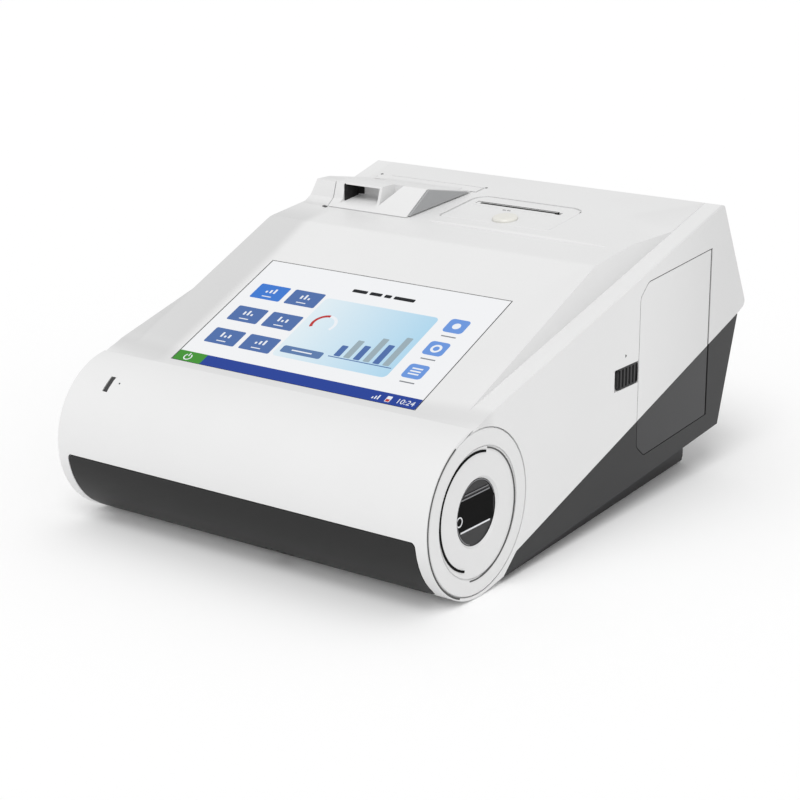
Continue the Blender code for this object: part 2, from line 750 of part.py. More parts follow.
def block_corners(lift):
    """The steep block round the card pocket in the side view: front foot, rear foot, rear top and front top."""
    crest = FRONT_Y + HOOD_TOP_SETBACK
    foot = FRONT_Y + BLOCK_FOOT_SETBACK
    face = FRONT_Y + BLOCK_TOP_SETBACK
    roof = shelf_height(crest) + HOOD_RISE + lift - BLOCK_DROP
    return [Vector((foot, shelf_height(foot) + BLOCK_SINK + lift)),
            Vector((crest, shelf_height(crest) + BLOCK_SINK + lift)), Vector((crest, roof)),
            Vector((face, roof))]


def shoulder_outline():
    """The side view of the fixed shoulder beside the hood: the hood's wedge and the block in one."""
    front, rear, crest = hood_corners(WALL / 2)
    foot, _, roof, face = block_corners(0)
    slope = (crest - front).to_2d()
    upright = face - foot
    meet = crossing(foot, math.atan2(upright.y, upright.x), front, math.atan2(slope.y, slope.x))
    return [front, rear, Vector((crest.x + EDGE_ROUND, roof.y - BLOCK_DROP)), face, meet]


def hood_opening(name, grow, low, high):
    """The plan of the port's opening, under the hood and its rear flap."""
    front = HOOD_FRONT_SETBACK + PORT_LEDGE
    rear = HOOD_REAR_SETBACK
    place = shelf_place(FRONT_Y)
    scale = math.cos(SHELF_PITCH)
    flap_y = (rear - HOOD_FLAP_LENGTH) / scale - grow
    front_y = front / scale - grow
    rear_y = rear / scale + grow
    left = HOOD_LEFT + grow
    corners = [(HOOD_PIN_LEFT - grow, rear_y), (HOOD_PIN_LEFT - grow, flap_y), (left, flap_y), (left, front_y),
               (HOOD_RIGHT_FRONT - PORT_LEDGE + grow, front_y), (HOOD_RIGHT_FRONT - PORT_LEDGE + grow, flap_y),
               (HOOD_PIN_RIGHT + grow, flap_y), (HOOD_PIN_RIGHT + grow, rear_y)]
    return prism(name, [Vector(c) for c in corners], low, high, place)


def cover_outline(grow):
    """The plan of the printer cover in the shelf's own plane, with its rear corners well rounded."""
    half = (COVER_RIGHT - COVER_LEFT) / 2 + grow
    low, high = -grow, COVER_LENGTH + grow
    return rounded([(-half, low, COVER_ROUND / 4), (half, low, COVER_ROUND / 4), (half, high, COVER_ROUND),
                    (-half, high, COVER_ROUND)])


def cover_place():
    place = shelf_place(FRONT_Y + COVER_FRONT_SETBACK)
    return place @ Matrix.Translation(((COVER_LEFT + COVER_RIGHT) / 2, 0, 0))


def latch_centre():
    """The middle of the latch slider on the right side of the case, as Y and Z."""
    rear = FRONT_Y + DOOR_FRONT_SETBACK - LATCH_DOOR_MARGIN
    return rear - LATCH_LENGTH / 2, LATCH_BOTTOM + LATCH_HEIGHT / 2


def rear_wall_place(rise):
    """Local X across, local Y up the dark rear wall and local Z out of it, at a height up the wall."""
    up = Vector((0, LIP_CORNER.x - SKIRT_REAR.x, LIP_CORNER.y - SKIRT_REAR.y)).normalized()
    out = Vector((0, up.z, -up.y))
    place = Matrix((Vector((-1, 0, 0)), up, out)).transposed().to_4x4()
    place.translation = Vector((0, SKIRT_REAR.x, SKIRT_REAR.y)) + up * rise
    return place


def make_upper_shell():
    shell = case_form("upper_shell", 0)
    boolean(shell, shelf_side_cutter("shelf_sides", 0))
    shoulder = prism("hood_shoulder", shoulder_outline(), SHOULDER_FOOT - HOOD_RISE, HOOD_LEFT - GAP,
                     SIDE_PLACE)
    front_y = FRONT_Y + HOOD_FRONT_SETBACK
    lean = (SHOULDER_TOP - SHOULDER_FOOT) / HOOD_RISE
    low = shelf_height(front_y) - WALL
    foot = SHOULDER_FOOT - lean * WALL
    top = SHOULDER_FOOT + lean * (HOOD_RISE * 2)
    slope = [Vector((foot, low)), Vector((top, low + WALL + HOOD_RISE * 2)),
             Vector((-SIDE_X * 2, low + WALL + HOOD_RISE * 2)), Vector((-SIDE_X * 2, low))]
    stand = Matrix.Translation((0, front_y - OVERRUN, 0)) @ Matrix.Rotation(math.pi / 2, 4, "X")
    boolean(shoulder, prism("shoulder_slope", slope, -CASE_DEPTH / 2, 0, stand))
    boolean(shell, shoulder, "UNION")
    inside = case_form("upper_inside", WALL)
    boolean(inside, shelf_side_cutter("shelf_sides_inside", WALL))
    boolean(shell, inside)
    boolean(shell, prism("under_split", split_outline(-GAP / 2), -SIDE_X - OVERRUN, SIDE_X + OVERRUN,
                         SIDE_PLACE))
    boolean(shell, screen_well())
    boolean(shell, box("screen_opening", (-SCREEN_WIDTH / 2, 0, -WALL * 2),
                       (SCREEN_WIDTH / 2, SCREEN_LENGTH, WALL), screen_place()))
    for side in (1, -1):
        place = side_disc_place(side)
        boolean(shell, cylinder(f"disc_seat_{side}", DISC_RADIUS + SEAM, -DISC_THICKNESS - GAP, OVERRUN,
                                place, 48))
        boolean(shell, cylinder(f"disc_opening_{side}", DISC_RADIUS - DISC_SEAT, -WALL - OVERRUN, OVERRUN,
                                place, 48))
    boolean(shell, cylinder("speaker_opening", SPEAKER_RADIUS * SPEAKER_RIM_SHARE, -WALL - OVERRUN, OVERRUN,
                            roll_place(GRILLE_ANGLE, GRILLE_X)))
    boolean(shell, prism("door_opening", door_outline(SEAM), SIDE_X - WALL - OVERRUN, SIDE_X + OVERRUN,
                         SIDE_PLACE))
    boolean(shell, panel_recess())
    boolean(shell, hood_opening("port_opening", SEAM, -HOOD_RISE, HOOD_RISE))
    boolean(shell, prism("printer_opening", cover_outline(SEAM), -WALL - OVERRUN, OVERRUN, cover_place()))
    slot = roll_place(INDICATOR_ANGLE, INDICATOR_X)
    boolean(shell, box("indicator_opening", (-INDICATOR_WIDTH / 2, -INDICATOR_LENGTH / 2, -WALL - OVERRUN),
                       (INDICATOR_WIDTH / 2, INDICATOR_LENGTH / 2, OVERRUN), slot))
    y, z = latch_centre()
    half_y, half_z = LATCH_LENGTH / 2 + GAP, LATCH_HEIGHT / 2 + GAP
    boolean(shell, box("latch_recess", (SIDE_X - LATCH_THICKNESS - GAP, y - half_y - LATCH_TRAVEL, z - half_z),
                       (SIDE_X + OVERRUN, y + half_y, z + half_z)))
    stem_y, stem_z = LATCH_STEM_LENGTH / 2 + GAP, LATCH_STEM_HEIGHT / 2 + GAP
    boolean(shell, box("latch_slot", (SIDE_X - WALL - OVERRUN, y - stem_y - LATCH_TRAVEL, z - stem_z),
                       (SIDE_X, y + stem_y, z + stem_z)))
    boolean(shell, hinge_stub("upper_hinge_hole", 1, HINGE_CLEARANCE))
    for side in (1, -1):
        boolean(shell, flap_stub(f"hood_hinge_hole_{side}", side, HINGE_CLEARANCE))
        boolean(shell, cover_stub(f"cover_hinge_hole_{side}", side, HINGE_CLEARANCE))
    finish(settle(shell), "upper_shell", WHITE, 0.42)


def panel_recess():
    recess = panel_sector("panel_recess", ROLL_RADIUS + OVERRUN, OVERRUN + PANEL_THICKNESS + GAP,
                          PANEL_END_MARGIN - SEAM, -SEAM)
    return boolean(recess, panel_corner_cutter("panel_recess_corners", PANEL_END_MARGIN - SEAM, SEAM),
                   "INTERSECT")


def grille_holes(name):
    """Two bowed rows of sound holes through the front panel."""
    bm = bmesh.new()
    for row in (0, 1):
        count = GRILLE_COLUMNS - row
        for column in range(count):
            across = (column - (count - 1) / 2) * GRILLE_PITCH
            share = across / (GRILLE_PITCH * GRILLE_COLUMNS / 2)
            angle = GRILLE_ANGLE + (row * GRILLE_ROW_SHARE - share * share) * GRILLE_PITCH / ROLL_RADIUS
            made = bmesh.ops.create_cone(bm, cap_ends=True, segments=8, radius1=GRILLE_HOLE_RADIUS,
                                         radius2=GRILLE_HOLE_RADIUS, depth=PANEL_THICKNESS + OVERRUN * 2)
            bmesh.ops.transform(bm, matrix=roll_place(angle, GRILLE_X + across), verts=made["verts"])
    return object_from(bm, name)


def make_front_panel():
    panel = panel_sector("front_panel", ROLL_RADIUS, PANEL_THICKNESS, PANEL_END_MARGIN, 0)
    boolean(panel, panel_corner_cutter("panel_corners", PANEL_END_MARGIN, 0), "INTERSECT")
    boolean(panel, grille_holes("grille_holes"))
    finish(settle(panel), "front_panel", CHARCOAL, 0.5)


def make_base_shell():
    side = SIDE_X - WALL
    outline = case_outline()
    base = prism("base_shell", outline, -SIDE_X, SIDE_X, SIDE_PLACE)
    split = prism("base_part", split_outline(GAP / 2), -SIDE_X - OVERRUN, SIDE_X + OVERRUN, SIDE_PLACE)
    boolean(base, split, "INTERSECT")
    toe_run = (SPLIT_KINK.x - SKIRT_TOE.x) / (SPLIT_KINK.y - SKIRT_TOE.y)
    pan_front = SKIRT_TOE.x + toe_run * WALL + PAN_FRONT_STEP
    pan_rear = SKIRT_REAR.x - PAN_REAR_SETBACK
    floor_slope = (SKIRT_REAR.y - SKIRT_TOE.y) / (SKIRT_REAR.x - SKIRT_TOE.x)

    def pan(name, inset, rise):
        front, rear = pan_front + inset, pan_rear - inset
        corners = [(front, PAN_HEIGHT + inset, 0), (rear, PAN_HEIGHT + inset, EDGE_ROUND),
                   (rear, SKIRT_TOE.y + (rear - SKIRT_TOE.x) * floor_slope + rise, 0),
                   (front, SKIRT_TOE.y + (front - SKIRT_TOE.x) * floor_slope + rise, 0)]
        return prism(name, rounded(corners), -PAN_WIDTH / 2 + inset, PAN_WIDTH / 2 - inset, SIDE_PLACE)

    boolean(base, pan("pan", 0, WALL / 2), "UNION")
    boolean(base, prism("base_inside", inset_outline(outline, WALL), -side, side, SIDE_PLACE))
    boolean(base, pan("pan_inside", WALL, WALL * 2))
    boolean(base, prism("base_door_opening", door_outline(SEAM), side - OVERRUN, SIDE_X + OVERRUN, SIDE_PLACE))
    boolean(base, hinge_stub("base_hinge_hole", -1, HINGE_CLEARANCE))
    panel = rear_wall_place(SOCKET_PANEL_RISE)
    half = SOCKET_PANEL_WIDTH / 2 + GAP
    high = SOCKET_PANEL_HEIGHT / 2 + GAP
    boolean(base, box("socket_panel_seat", (-half, -high, -SOCKET_PANEL_THICKNESS), (half, high, OVERRUN),
                      panel))
    lip = BATTERY_COVER_MARGIN / 2
    boolean(base, box("socket_panel_opening", (-half + lip, -high + lip, -WALL - OVERRUN),
                      (half - lip, high - lip, OVERRUN), panel))
    boolean(base, vent_slots())
    boolean(base, battery_cover_box("battery_cover_opening", GAP))
    for x, y in foot_places():
        place = Matrix.Translation((x, y, PAN_HEIGHT))
        boolean(base, cylinder(f"foot_seat_{x:.3f}_{y:.3f}", FOOT_RADIUS + GAP, -OVERRUN, FOOT_GRIP, place, 24))
    for x, y in screw_places():
        place = Matrix.Translation((x, y, PAN_HEIGHT))
        boolean(base, cylinder(f"screw_seat_{x:.3f}_{y:.3f}", SCREW_RADIUS + GAP, -OVERRUN,
                               SCREW_DEPTH + GAP * 2,
                               place, 16))
    for index, (x, y) in enumerate(board_posts()):
        place = Matrix.Translation((x, y, PAN_HEIGHT + WALL))
        boolean(base, cylinder(f"board_post_{index}", POST_RADIUS, -WALL / 2, POST_HEIGHT, place, 16), "UNION")
    finish(settle(base), "base_shell", DARK, 0.5)


def vent_slots():
    place = rear_wall_place(SOCKET_PANEL_RISE)
    start = -SOCKET_PANEL_WIDTH / 2 - VENT_PITCH
    half, high, corner = VENT_WIDTH / 2, VENT_HEIGHT / 2, VENT_WIDTH * VENT_ROUND_SHARE
    slot = rounded([(-half, -high, corner), (half, -high, corner), (half, high, corner), (-half, high, corner)],
                   VENT_ARC_STEP)
    one = prism("vent_slots", slot, -WALL - OVERRUN, OVERRUN, place @ Matrix.Translation((start, 0, 0)))
    row = one.modifiers.new("row", "ARRAY")
    row.count = VENT_SLOTS
    row.use_relative_offset = False
    row.use_constant_offset = True
    row.constant_offset_displace = (VENT_PITCH, 0, 0)
    row.merge_threshold = WELD
    return one


def battery_cover_box(name, grow):
    """The plate under the battery, or its opening when grown by the gap."""
    half = BATTERY_WIDTH / 2 - BATTERY_COVER_MARGIN + grow
    front = FRONT_Y + BATTERY_SETBACK + BATTERY_COVER_MARGIN - grow
    rear = FRONT_Y + BATTERY_SETBACK + BATTERY_LENGTH - BATTERY_COVER_MARGIN + grow
    reach = OVERRUN if grow > 0 else 0
    low = (BATTERY_X - half, front, PAN_HEIGHT - reach)
    return box(name, low, (BATTERY_X + half, rear, PAN_HEIGHT + WALL + reach))


def foot_places():
    half = PAN_WIDTH / 2 - FOOT_INSET_X
    return [(x, y) for x in (-half, half) for y in (FRONT_Y + FOOT_FRONT_SETBACK, REAR_Y - FOOT_REAR_SETBACK)]


def screw_places():
    return [(x - math.copysign(SCREW_SETBACK, x), y) for x, y in foot_places()]


def board_posts():
    y = FRONT_Y + BOARD_SETBACK
    inset = POST_RADIUS + POST_RADIUS / 2
    return [(BOARD_X + sx * (BOARD_WIDTH / 2 - inset), y + inset + sy * (BOARD_LENGTH - inset * 2))
            for sx in (-1, 1) for sy in (0, 1)]


def button_place():
    return cover_place() @ Matrix.Translation((BUTTON_X - (COVER_LEFT + COVER_RIGHT) / 2, BUTTON_FROM_FRONT, 0))


def hinge_axis():
    """The vertical axis of the side door, as X and Y."""
    return SIDE_X - DOOR_THICKNESS / 2, FRONT_Y + DOOR_FRONT_SETBACK + DOOR_LENGTH - DOOR_THICKNESS / 2


def hinge_stub(name, end, grow):
    """A pivot stub at the door's top (+1) or bottom (-1), or its hole when grown."""
    x, y = hinge_axis()
    edge = DOOR_REAR_TOP if end > 0 else DOOR_REAR_BOTTOM
    low = edge - HINGE_PIN_LENGTH - grow
    high = edge + HINGE_PIN_LENGTH + grow
    return cylinder(name, HINGE_PIN_RADIUS + grow, low, high, Matrix.Translation((x, y, 0)), 16)


def flap_axis():
    """The hood's hinge axis: its place has local X along the axis, at half the flap's thickness."""
    place = shelf_place(FRONT_Y + HOOD_REAR_SETBACK)
    half = HOOD_FLAP_THICKNESS / 2
    return place @ Matrix.Translation((0, -half, HOOD_FLAP_RISE - half))


def cover_axis():
    """The printer cover's hinge axis, at half the cover's thickness from its rear edge."""
    return cover_place() @ Matrix.Translation((0, COVER_LENGTH - COVER_THICKNESS / 2, -COVER_THICKNESS / 2))


def round_rear_tool(name, thickness, length, half, axis):
    """A block round a plate's side view, whose rear end turns round the plate's hinge axis."""
    radius = thickness / 2
    outline = [Vector((-length * 2, -thickness)), Vector((-thickness, -thickness)),
               Vector((-thickness, -radius))]
    outline += arc((0, 0), radius, -math.pi / 2, math.pi / 2, FINE_ARC_STEP)
    outline += [Vector((-thickness, radius)), Vector((-thickness, thickness)), Vector((-length * 2, thickness))]
    return prism(name, outline, -half, half, axis @ SIDE_PLACE)


def stub_along(name, place, inner, outer, grow):
    low, high = sorted((inner, outer))
    turn = Matrix.Rotation(math.pi / 2, 4, "Y")
    return cylinder(name, HINGE_PIN_RADIUS + grow, low - grow, high + grow, place @ turn, 16)


def flap_stub(name, side, grow):
    end = HOOD_PIN_RIGHT if side > 0 else HOOD_PIN_LEFT
    return stub_along(name, flap_axis(), end - side * HINGE_PIN_LENGTH, end + side * HINGE_PIN_LENGTH, grow)


def cover_stub(name, side, grow):
    end = side * ((COVER_RIGHT - COVER_LEFT) / 2 - COVER_ROUND)
    return stub_along(name, cover_axis(), end - side * HINGE_PIN_LENGTH, end + side * COVER_ROUND, grow)


def make_disc_caps():
    def groove(radius):
        half = DISC_SEAM_WIDTH / 2
        return [(radius - half, -DISC_DISH / 2), (radius - half, -DISC_DISH * 2),
                (radius + half, -DISC_DISH * 2),
                (radius + half, 0)]

    rim = [(DISC_RADIUS - DISC_CHAMFER, 0), (DISC_RADIUS, -DISC_CHAMFER), (DISC_RADIUS, -DISC_THICKNESS)]
    window = [(WINDOW_RADIUS, -DISC_THICKNESS), (WINDOW_RADIUS, -DISC_DISH - WINDOW_BEVEL),
              (WINDOW_RADIUS + WINDOW_BEVEL, -DISC_DISH)]
    ring = window + groove(DISC_SEAM_RADIUS) + rim + window[:1]
    right = turned("right_disc_cap", ring, side_disc_place(1), 48)
    finish(settle_place(right), "right_disc_cap", WHITE, 0.4)
    plain = [(0, -DISC_DISH)] + groove(DISC_SEAM_RADIUS) + rim + [(0, -DISC_THICKNESS)]
    left = turned("left_disc_cap", plain, side_disc_place(-1), 48)
    finish(settle_place(left), "left_disc_cap", WHITE, 0.4)


def settle_place(obj):
    """Turns modifiers into the mesh and the object's place into its points."""
    settle(obj)
    obj.data.transform(obj.matrix_world)
    obj.matrix_world = Matrix.Identity(4)
    return obj


def make_scanner():
    place = side_disc_place(1)
    top = -DISC_THICKNESS - GAP
    low = top - WINDOW_THICKNESS
    radius = WINDOW_RADIUS + WINDOW_LAP
    glass = turned("scanner_window", [(0, top), (radius, top), (radius, low), (0, low)], place, 32)
    finish(settle_place(glass), "scanner_window", BLACK, 0.08)
    face = low - GAP
    block = box("scanner_module", (-SCANNER_HEIGHT / 2, -SCANNER_LENGTH / 2, face - SCANNER_DEPTH),
                (SCANNER_HEIGHT / 2, SCANNER_LENGTH / 2, face), place)
    lens_place = place @ Matrix.Translation((0, -SCANNER_LENGTH / 4, 0))
    boolean(block, cylinder("scanner_lens_hole", SCANNER_LENS_RADIUS, face - SCANNER_LENS_RADIUS,
                            face + OVERRUN,
                            lens_place, 24))
    bevel(block, EDGE_ROUND / 2)
    finish(settle(block), "scanner_module", BLACK, 0.45)


def make_display():
    place = screen_place()
    half = SCREEN_WIDTH / 2 - GAP
    low = -GLASS_THICKNESS - GAP / 2
    glass = box("touch_glass", (-half, GAP, low), (half, SCREEN_LENGTH - GAP, -GAP / 2), place)
    finish(glass, "touch_glass", BLACK, 0.08)
    low -= GAP
    half = SCREEN_WIDTH / 2 + MODULE_MARGIN
    module = box("display_module", (-half, -MODULE_MARGIN, low - MODULE_THICKNESS),
                 (half, SCREEN_LENGTH + MODULE_MARGIN, low), place)
    bevel(module, EDGE_ROUND / 3, 1)
    finish(settle(module), "display_module", STEEL, 0.4, 1.0)
    low -= MODULE_THICKNESS + GAP
    half += BRACKET_MARGIN
    reach = MODULE_MARGIN + BRACKET_MARGIN
    bracket = box("display_bracket", (-half, -reach, low - BRACKET_THICKNESS),
                  (half, SCREEN_LENGTH + reach, low), place)
    inner = half - BRACKET_WINDOW_MARGIN
    boolean(bracket, box("bracket_window", (-inner, BRACKET_WINDOW_MARGIN, low - BRACKET_THICKNESS - OVERRUN),
                         (inner, SCREEN_LENGTH - BRACKET_WINDOW_MARGIN, low + OVERRUN), place))
    finish(settle(bracket), "display_bracket", STEEL, 0.35, 1.0)


def make_indicator_lens():
    half, high = INDICATOR_WIDTH / 2 - GAP, INDICATOR_LENGTH / 2 - GAP
    lens = box("indicator_lens", (-half, -high, -WALL), (half, high, -GAP),
               roll_place(INDICATOR_ANGLE, INDICATOR_X))
    bevel(lens, EDGE_ROUND / 4)
    finish(settle(lens), "indicator_lens", BLACK, 0.15)


def make_speaker():
    inner = ROLL_RADIUS - WALL
    sag = inner - math.sqrt(inner * inner - SPEAKER_RADIUS * SPEAKER_RADIUS)
    top = -WALL - sag - GAP
    rim = SPEAKER_RADIUS * SPEAKER_RIM_SHARE
    hub = SPEAKER_RADIUS * SPEAKER_HUB_SHARE
    flange = top - SPEAKER_DEPTH * SPEAKER_FLANGE_SHARE
    profile = [(0, flange), (hub, flange), (rim, top), (SPEAKER_RADIUS, top), (SPEAKER_RADIUS, flange),
               (rim, top - SPEAKER_DEPTH * SPEAKER_BACK_SHARE), (rim, top - SPEAKER_DEPTH),
               (0, top - SPEAKER_DEPTH)]
    speaker = turned("speaker", profile, roll_place(GRILLE_ANGLE, GRILLE_X), 32)
    finish(settle_place(speaker), "speaker", BLACK, 0.6)


def door_plate(name):
    """The door's plate with its rear edge turned round the hinge axis."""
    plate = prism(name, door_outline(0), SIDE_X - DOOR_THICKNESS, SIDE_X, SIDE_PLACE)
    front = FRONT_Y + DOOR_FRONT_SETBACK - OVERRUN
    rear = FRONT_Y + DOOR_FRONT_SETBACK + DOOR_LENGTH
    x, y = hinge_axis()
    round_end = arc((x, y), DOOR_THICKNESS / 2, 0, math.pi, FINE_ARC_STEP)
    plan = [Vector((x - DOOR_THICKNESS, front)), Vector((x + DOOR_THICKNESS, front)),
            Vector((x + DOOR_THICKNESS, y - DOOR_THICKNESS)),
            Vector((x + DOOR_THICKNESS / 2, y - DOOR_THICKNESS))]
    plan += round_end + [Vector((x - DOOR_THICKNESS / 2, y - DOOR_THICKNESS)),
                         Vector((x - DOOR_THICKNESS, y - DOOR_THICKNESS))]
    return boolean(plate, prism(name + "_plan", plan, 0, CASE_HEIGHT, None), "INTERSECT")


def make_side_door():
    x, y = hinge_axis()
    axis = (x, y, (DOOR_REAR_BOTTOM + DOOR_REAR_TOP) / 2)
    upper = door_plate("door_upper")
    boolean(upper, prism("under_door_split", split_outline(-GAP / 2), 0, SIDE_X + OVERRUN, SIDE_PLACE))
    boolean(upper, hinge_stub("upper_hinge_stub", 1, 0), "UNION")
    finish(set_origin(settle(upper), axis), "door_upper", WHITE, 0.42)
    lower = door_plate("door_lower")
    boolean(lower, prism("door_split", split_outline(GAP / 2), 0, SIDE_X + OVERRUN, SIDE_PLACE), "INTERSECT")
    boolean(lower, hinge_stub("lower_hinge_stub", -1, 0), "UNION")
    finish(set_origin(settle(lower), axis), "door_lower", DARK, 0.25)
    outer = SIDE_X - DOOR_THICKNESS - GAP
    inner = outer - CARRIER_THICKNESS
    carrier = prism("door_carrier", inset_outline(door_outline(0), CARRIER_INSET), inner, outer, SIDE_PLACE)
    front = FRONT_Y + DOOR_FRONT_SETBACK
    _, latch_z = latch_centre()
    half = LATCH_STEM_HEIGHT / 2
    post = front + CARRIER_INSET + GAP + CATCH_LENGTH / 2
    boolean(carrier, box("catch_post", (inner - CATCH_REACH, post, latch_z - half),
                         (inner + CARRIER_THICKNESS / 2, post + CATCH_LENGTH, latch_z + half)), "UNION")
    barb = inner - GAP - LATCH_HOOK_THICKNESS - GAP
    boolean(carrier, box("catch_barb", (inner - CATCH_REACH, post - CATCH_LENGTH, latch_z - half),
                         (barb, post + CATCH_LENGTH / 2, latch_z + half)), "UNION")
    finish(set_origin(settle(carrier), axis), "door_carrier", DARK, 0.5)


def make_latch():
    y, z = latch_centre()
    half_y, half_z = LATCH_LENGTH / 2, LATCH_HEIGHT / 2
    outline = rounded([(y - half_y, z - half_z, LATCH_ROUND), (y + half_y, z - half_z, LATCH_ROUND),
                       (y + half_y, z + half_z, LATCH_ROUND), (y - half_y, z + half_z, LATCH_ROUND)])
    slider = prism("latch_slider", outline, SIDE_X - LATCH_THICKNESS, SIDE_X, SIDE_PLACE)
    pitch = LATCH_LENGTH / (LATCH_RIBS + 1)
    half = (pitch - LATCH_RIB_WIDTH) / 2
    reach = half_z - LATCH_RIB_WIDTH / 2
    for index in range(LATCH_RIBS + 1):
        middle = y - half_y + pitch / 2 + pitch * index
        boolean(slider, box(f"latch_groove_{index}", (SIDE_X - LATCH_THICKNESS / 2, middle - half, z - reach),
                            (SIDE_X + OVERRUN, middle + half, z + reach)))
    carrier_inner = SIDE_X - DOOR_THICKNESS - GAP - CARRIER_THICKNESS
    hook_outer = carrier_inner - GAP
    hook_inner = hook_outer - LATCH_HOOK_THICKNESS
    stem_y, stem_z = LATCH_STEM_LENGTH / 2, LATCH_STEM_HEIGHT / 2
    boolean(slider, box("latch_stem", (hook_inner, y - stem_y, z - stem_z),
                        (SIDE_X - LATCH_THICKNESS / 2 - GAP, y + stem_y, z + stem_z)), "UNION")
    tip = FRONT_Y + DOOR_FRONT_SETBACK + LATCH_HOOK_LAP
    hook = box("latch_hook", (hook_inner, y, z - stem_z + GAP), (hook_outer, tip, z + stem_z - GAP))
    boolean(slider, hook, "UNION")
    finish(set_origin(settle(slider), (SIDE_X, y, z)), "latch_slider", DARK, 0.45)


def bay_corners():
    """The fluid bay's inner low and high corners."""
    front = FRONT_Y + DOOR_FRONT_SETBACK
    mouth = SIDE_X - DOOR_THICKNESS - GAP - CARRIER_THICKNESS - GAP
    return (Vector((mouth - BAY_DEPTH, front + BAY_FRONT_MARGIN, BAY_BOTTOM)),
            Vector((mouth, front + DOOR_LENGTH - BAY_REAR_MARGIN, BAY_TOP)))


def make_bay():
    low, high = bay_corners()
    wall = Vector((BAY_WALL, BAY_WALL, BAY_WALL))
    mouth = high.x - LATCH_HOOK_THICKNESS - GAP
    liner = box("bay_liner", low - wall, (mouth, high.y + BAY_WALL, high.z + BAY_WALL))
    plate_low = mouth - BAY_WALL
    rim_top = SIDE_X - WALL - GAP
    boolean(liner, prism("bay_plate", door_outline(BAY_RIM_LAP), plate_low, rim_top, SIDE_PLACE), "UNION")
    boolean(liner, prism("bay_rim_inside", door_outline(BAY_RIM_GAP), mouth, rim_top + OVERRUN, SIDE_PLACE))
    boolean(liner, box("bay_hollow", low, (high.x + OVERRUN, high.y, high.z)))
    _, z = latch_centre()
    front = FRONT_Y + DOOR_FRONT_SETBACK
    half = LATCH_STEM_HEIGHT / 2 + GAP * 2
    way_end = front + CARRIER_INSET + CATCH_LENGTH + CATCH_LENGTH / 2 + GAP * 3
    boolean(liner, box("hook_way", (plate_low - OVERRUN, front - BAY_RIM_LAP - OVERRUN, z - half),
                       (rim_top + OVERRUN, way_end, z + half)))
    finish(settle(liner), "bay_liner", DARK, 0.55)

    margin = Vector((PACK_CLEARANCE, PACK_CLEARANCE, GAP))
    pack_low = low + margin
    pack_low.x = low.x + SEPTUM_LENGTH + GAP * 2
    pack_high = Vector((pack_low.x + PACK_DEPTH - SEPTUM_LENGTH, high.y - PACK_CLEARANCE,
                        high.z - PACK_CLEARANCE))
    pack = box("fluid_pack", pack_low, pack_high)
    middle = (pack_low + pack_high) / 2
    half = PACK_GRIP_WIDTH / 2
    boolean(pack, box("pack_grip", (pack_high.x - PACK_GRIP_DEPTH, middle.y - half, middle.z - half / 2),
                      (pack_high.x + OVERRUN, middle.y + half, middle.z + half / 2)))
    bevel(pack, PACK_ROUND / 2)
    finish(settle(pack), "fluid_pack", SOFT_WHITE, 0.4)
    axis_place = Matrix.Translation((0, middle.y, middle.z)) @ Matrix.Rotation(math.pi / 2, 4, "Y")
    septum = cylinder("pack_septum", SEPTUM_RADIUS, low.x + GAP, pack_low.x - GAP, axis_place, 24)
    finish(septum, "pack_septum", CHARCOAL, 0.7)
    make_pump(low.x - BAY_WALL - GAP, middle.y, middle.z)


def make_pump(wall_x, y, z):
    """The round pump on the inner side of the bay: housing, three-roller rotor and motor."""
    place = Matrix.Translation((wall_x, y, z)) @ Matrix.Rotation(-math.pi / 2, 4, "Y")
    inner = PUMP_RADIUS - PUMP_WALL
    profile = [(SHAFT_RADIUS + GAP, PUMP_WALL), (inner, PUMP_WALL), (inner, PUMP_DEPTH),
               (PUMP_RADIUS, PUMP_DEPTH),
               (PUMP_RADIUS, 0), (SHAFT_RADIUS + GAP, 0), (SHAFT_RADIUS + GAP, PUMP_WALL)]
    housing = turned("pump_housing", profile, place, 32)
    finish(settle_place(housing), "pump_housing", CHARCOAL, 0.5)
    low, high = PUMP_WALL + GAP, PUMP_DEPTH - GAP
    hub = ROTOR_RADIUS - ROTOR_ROLLER_RADIUS - ROTOR_ROLLER_RADIUS / 2
    rotor = cylinder("pump_rotor", hub, low, high, place, 24)
    for index in range(ROTOR_ROLLERS):
        turn = Matrix.Rotation(math.tau * index / ROTOR_ROLLERS, 4, "Z")
        reach = Matrix.Translation((ROTOR_RADIUS - ROTOR_ROLLER_RADIUS, 0, 0))
        roller = cylinder(f"rotor_roller_{index}", ROTOR_ROLLER_RADIUS, low, high - GAP,
                          place @ turn @ reach, 16)
        boolean(rotor, roller, "UNION")
    boolean(rotor, cylinder("rotor_shaft", SHAFT_RADIUS, GAP, PUMP_DEPTH + GAP, place, 16), "UNION")
    finish(set_origin(settle(rotor), place.translation), "pump_rotor", STEEL, 0.4, 1.0)
    low = PUMP_DEPTH + GAP * 2
    top, flange = low + MOTOR_LENGTH, low + BAY_WALL
    profile = [(0, top), (MOTOR_RADIUS, top), (MOTOR_RADIUS, flange), (PUMP_RADIUS, flange),
               (PUMP_RADIUS, low), (0, low)]
    motor = turned("pump_motor", profile, place, 32)
    finish(settle_place(motor), "pump_motor", STEEL, 0.4, 1.0)


def hood_side_place():
    """Local X runs back along the hood's right side, local Y up and local Z out of it."""
    front = Vector((HOOD_RIGHT_FRONT, FRONT_Y + HOOD_FRONT_SETBACK, 0))
    rear = Vector((HOOD_RIGHT_REAR, FRONT_Y + HOOD_REAR_SETBACK, 0))
    along = (rear - front).normalized()
    place = Matrix((along, Vector((0, 0, 1)), along.cross(Vector((0, 0, 1))))).transposed().to_4x4()
    place.translation = front
    return place


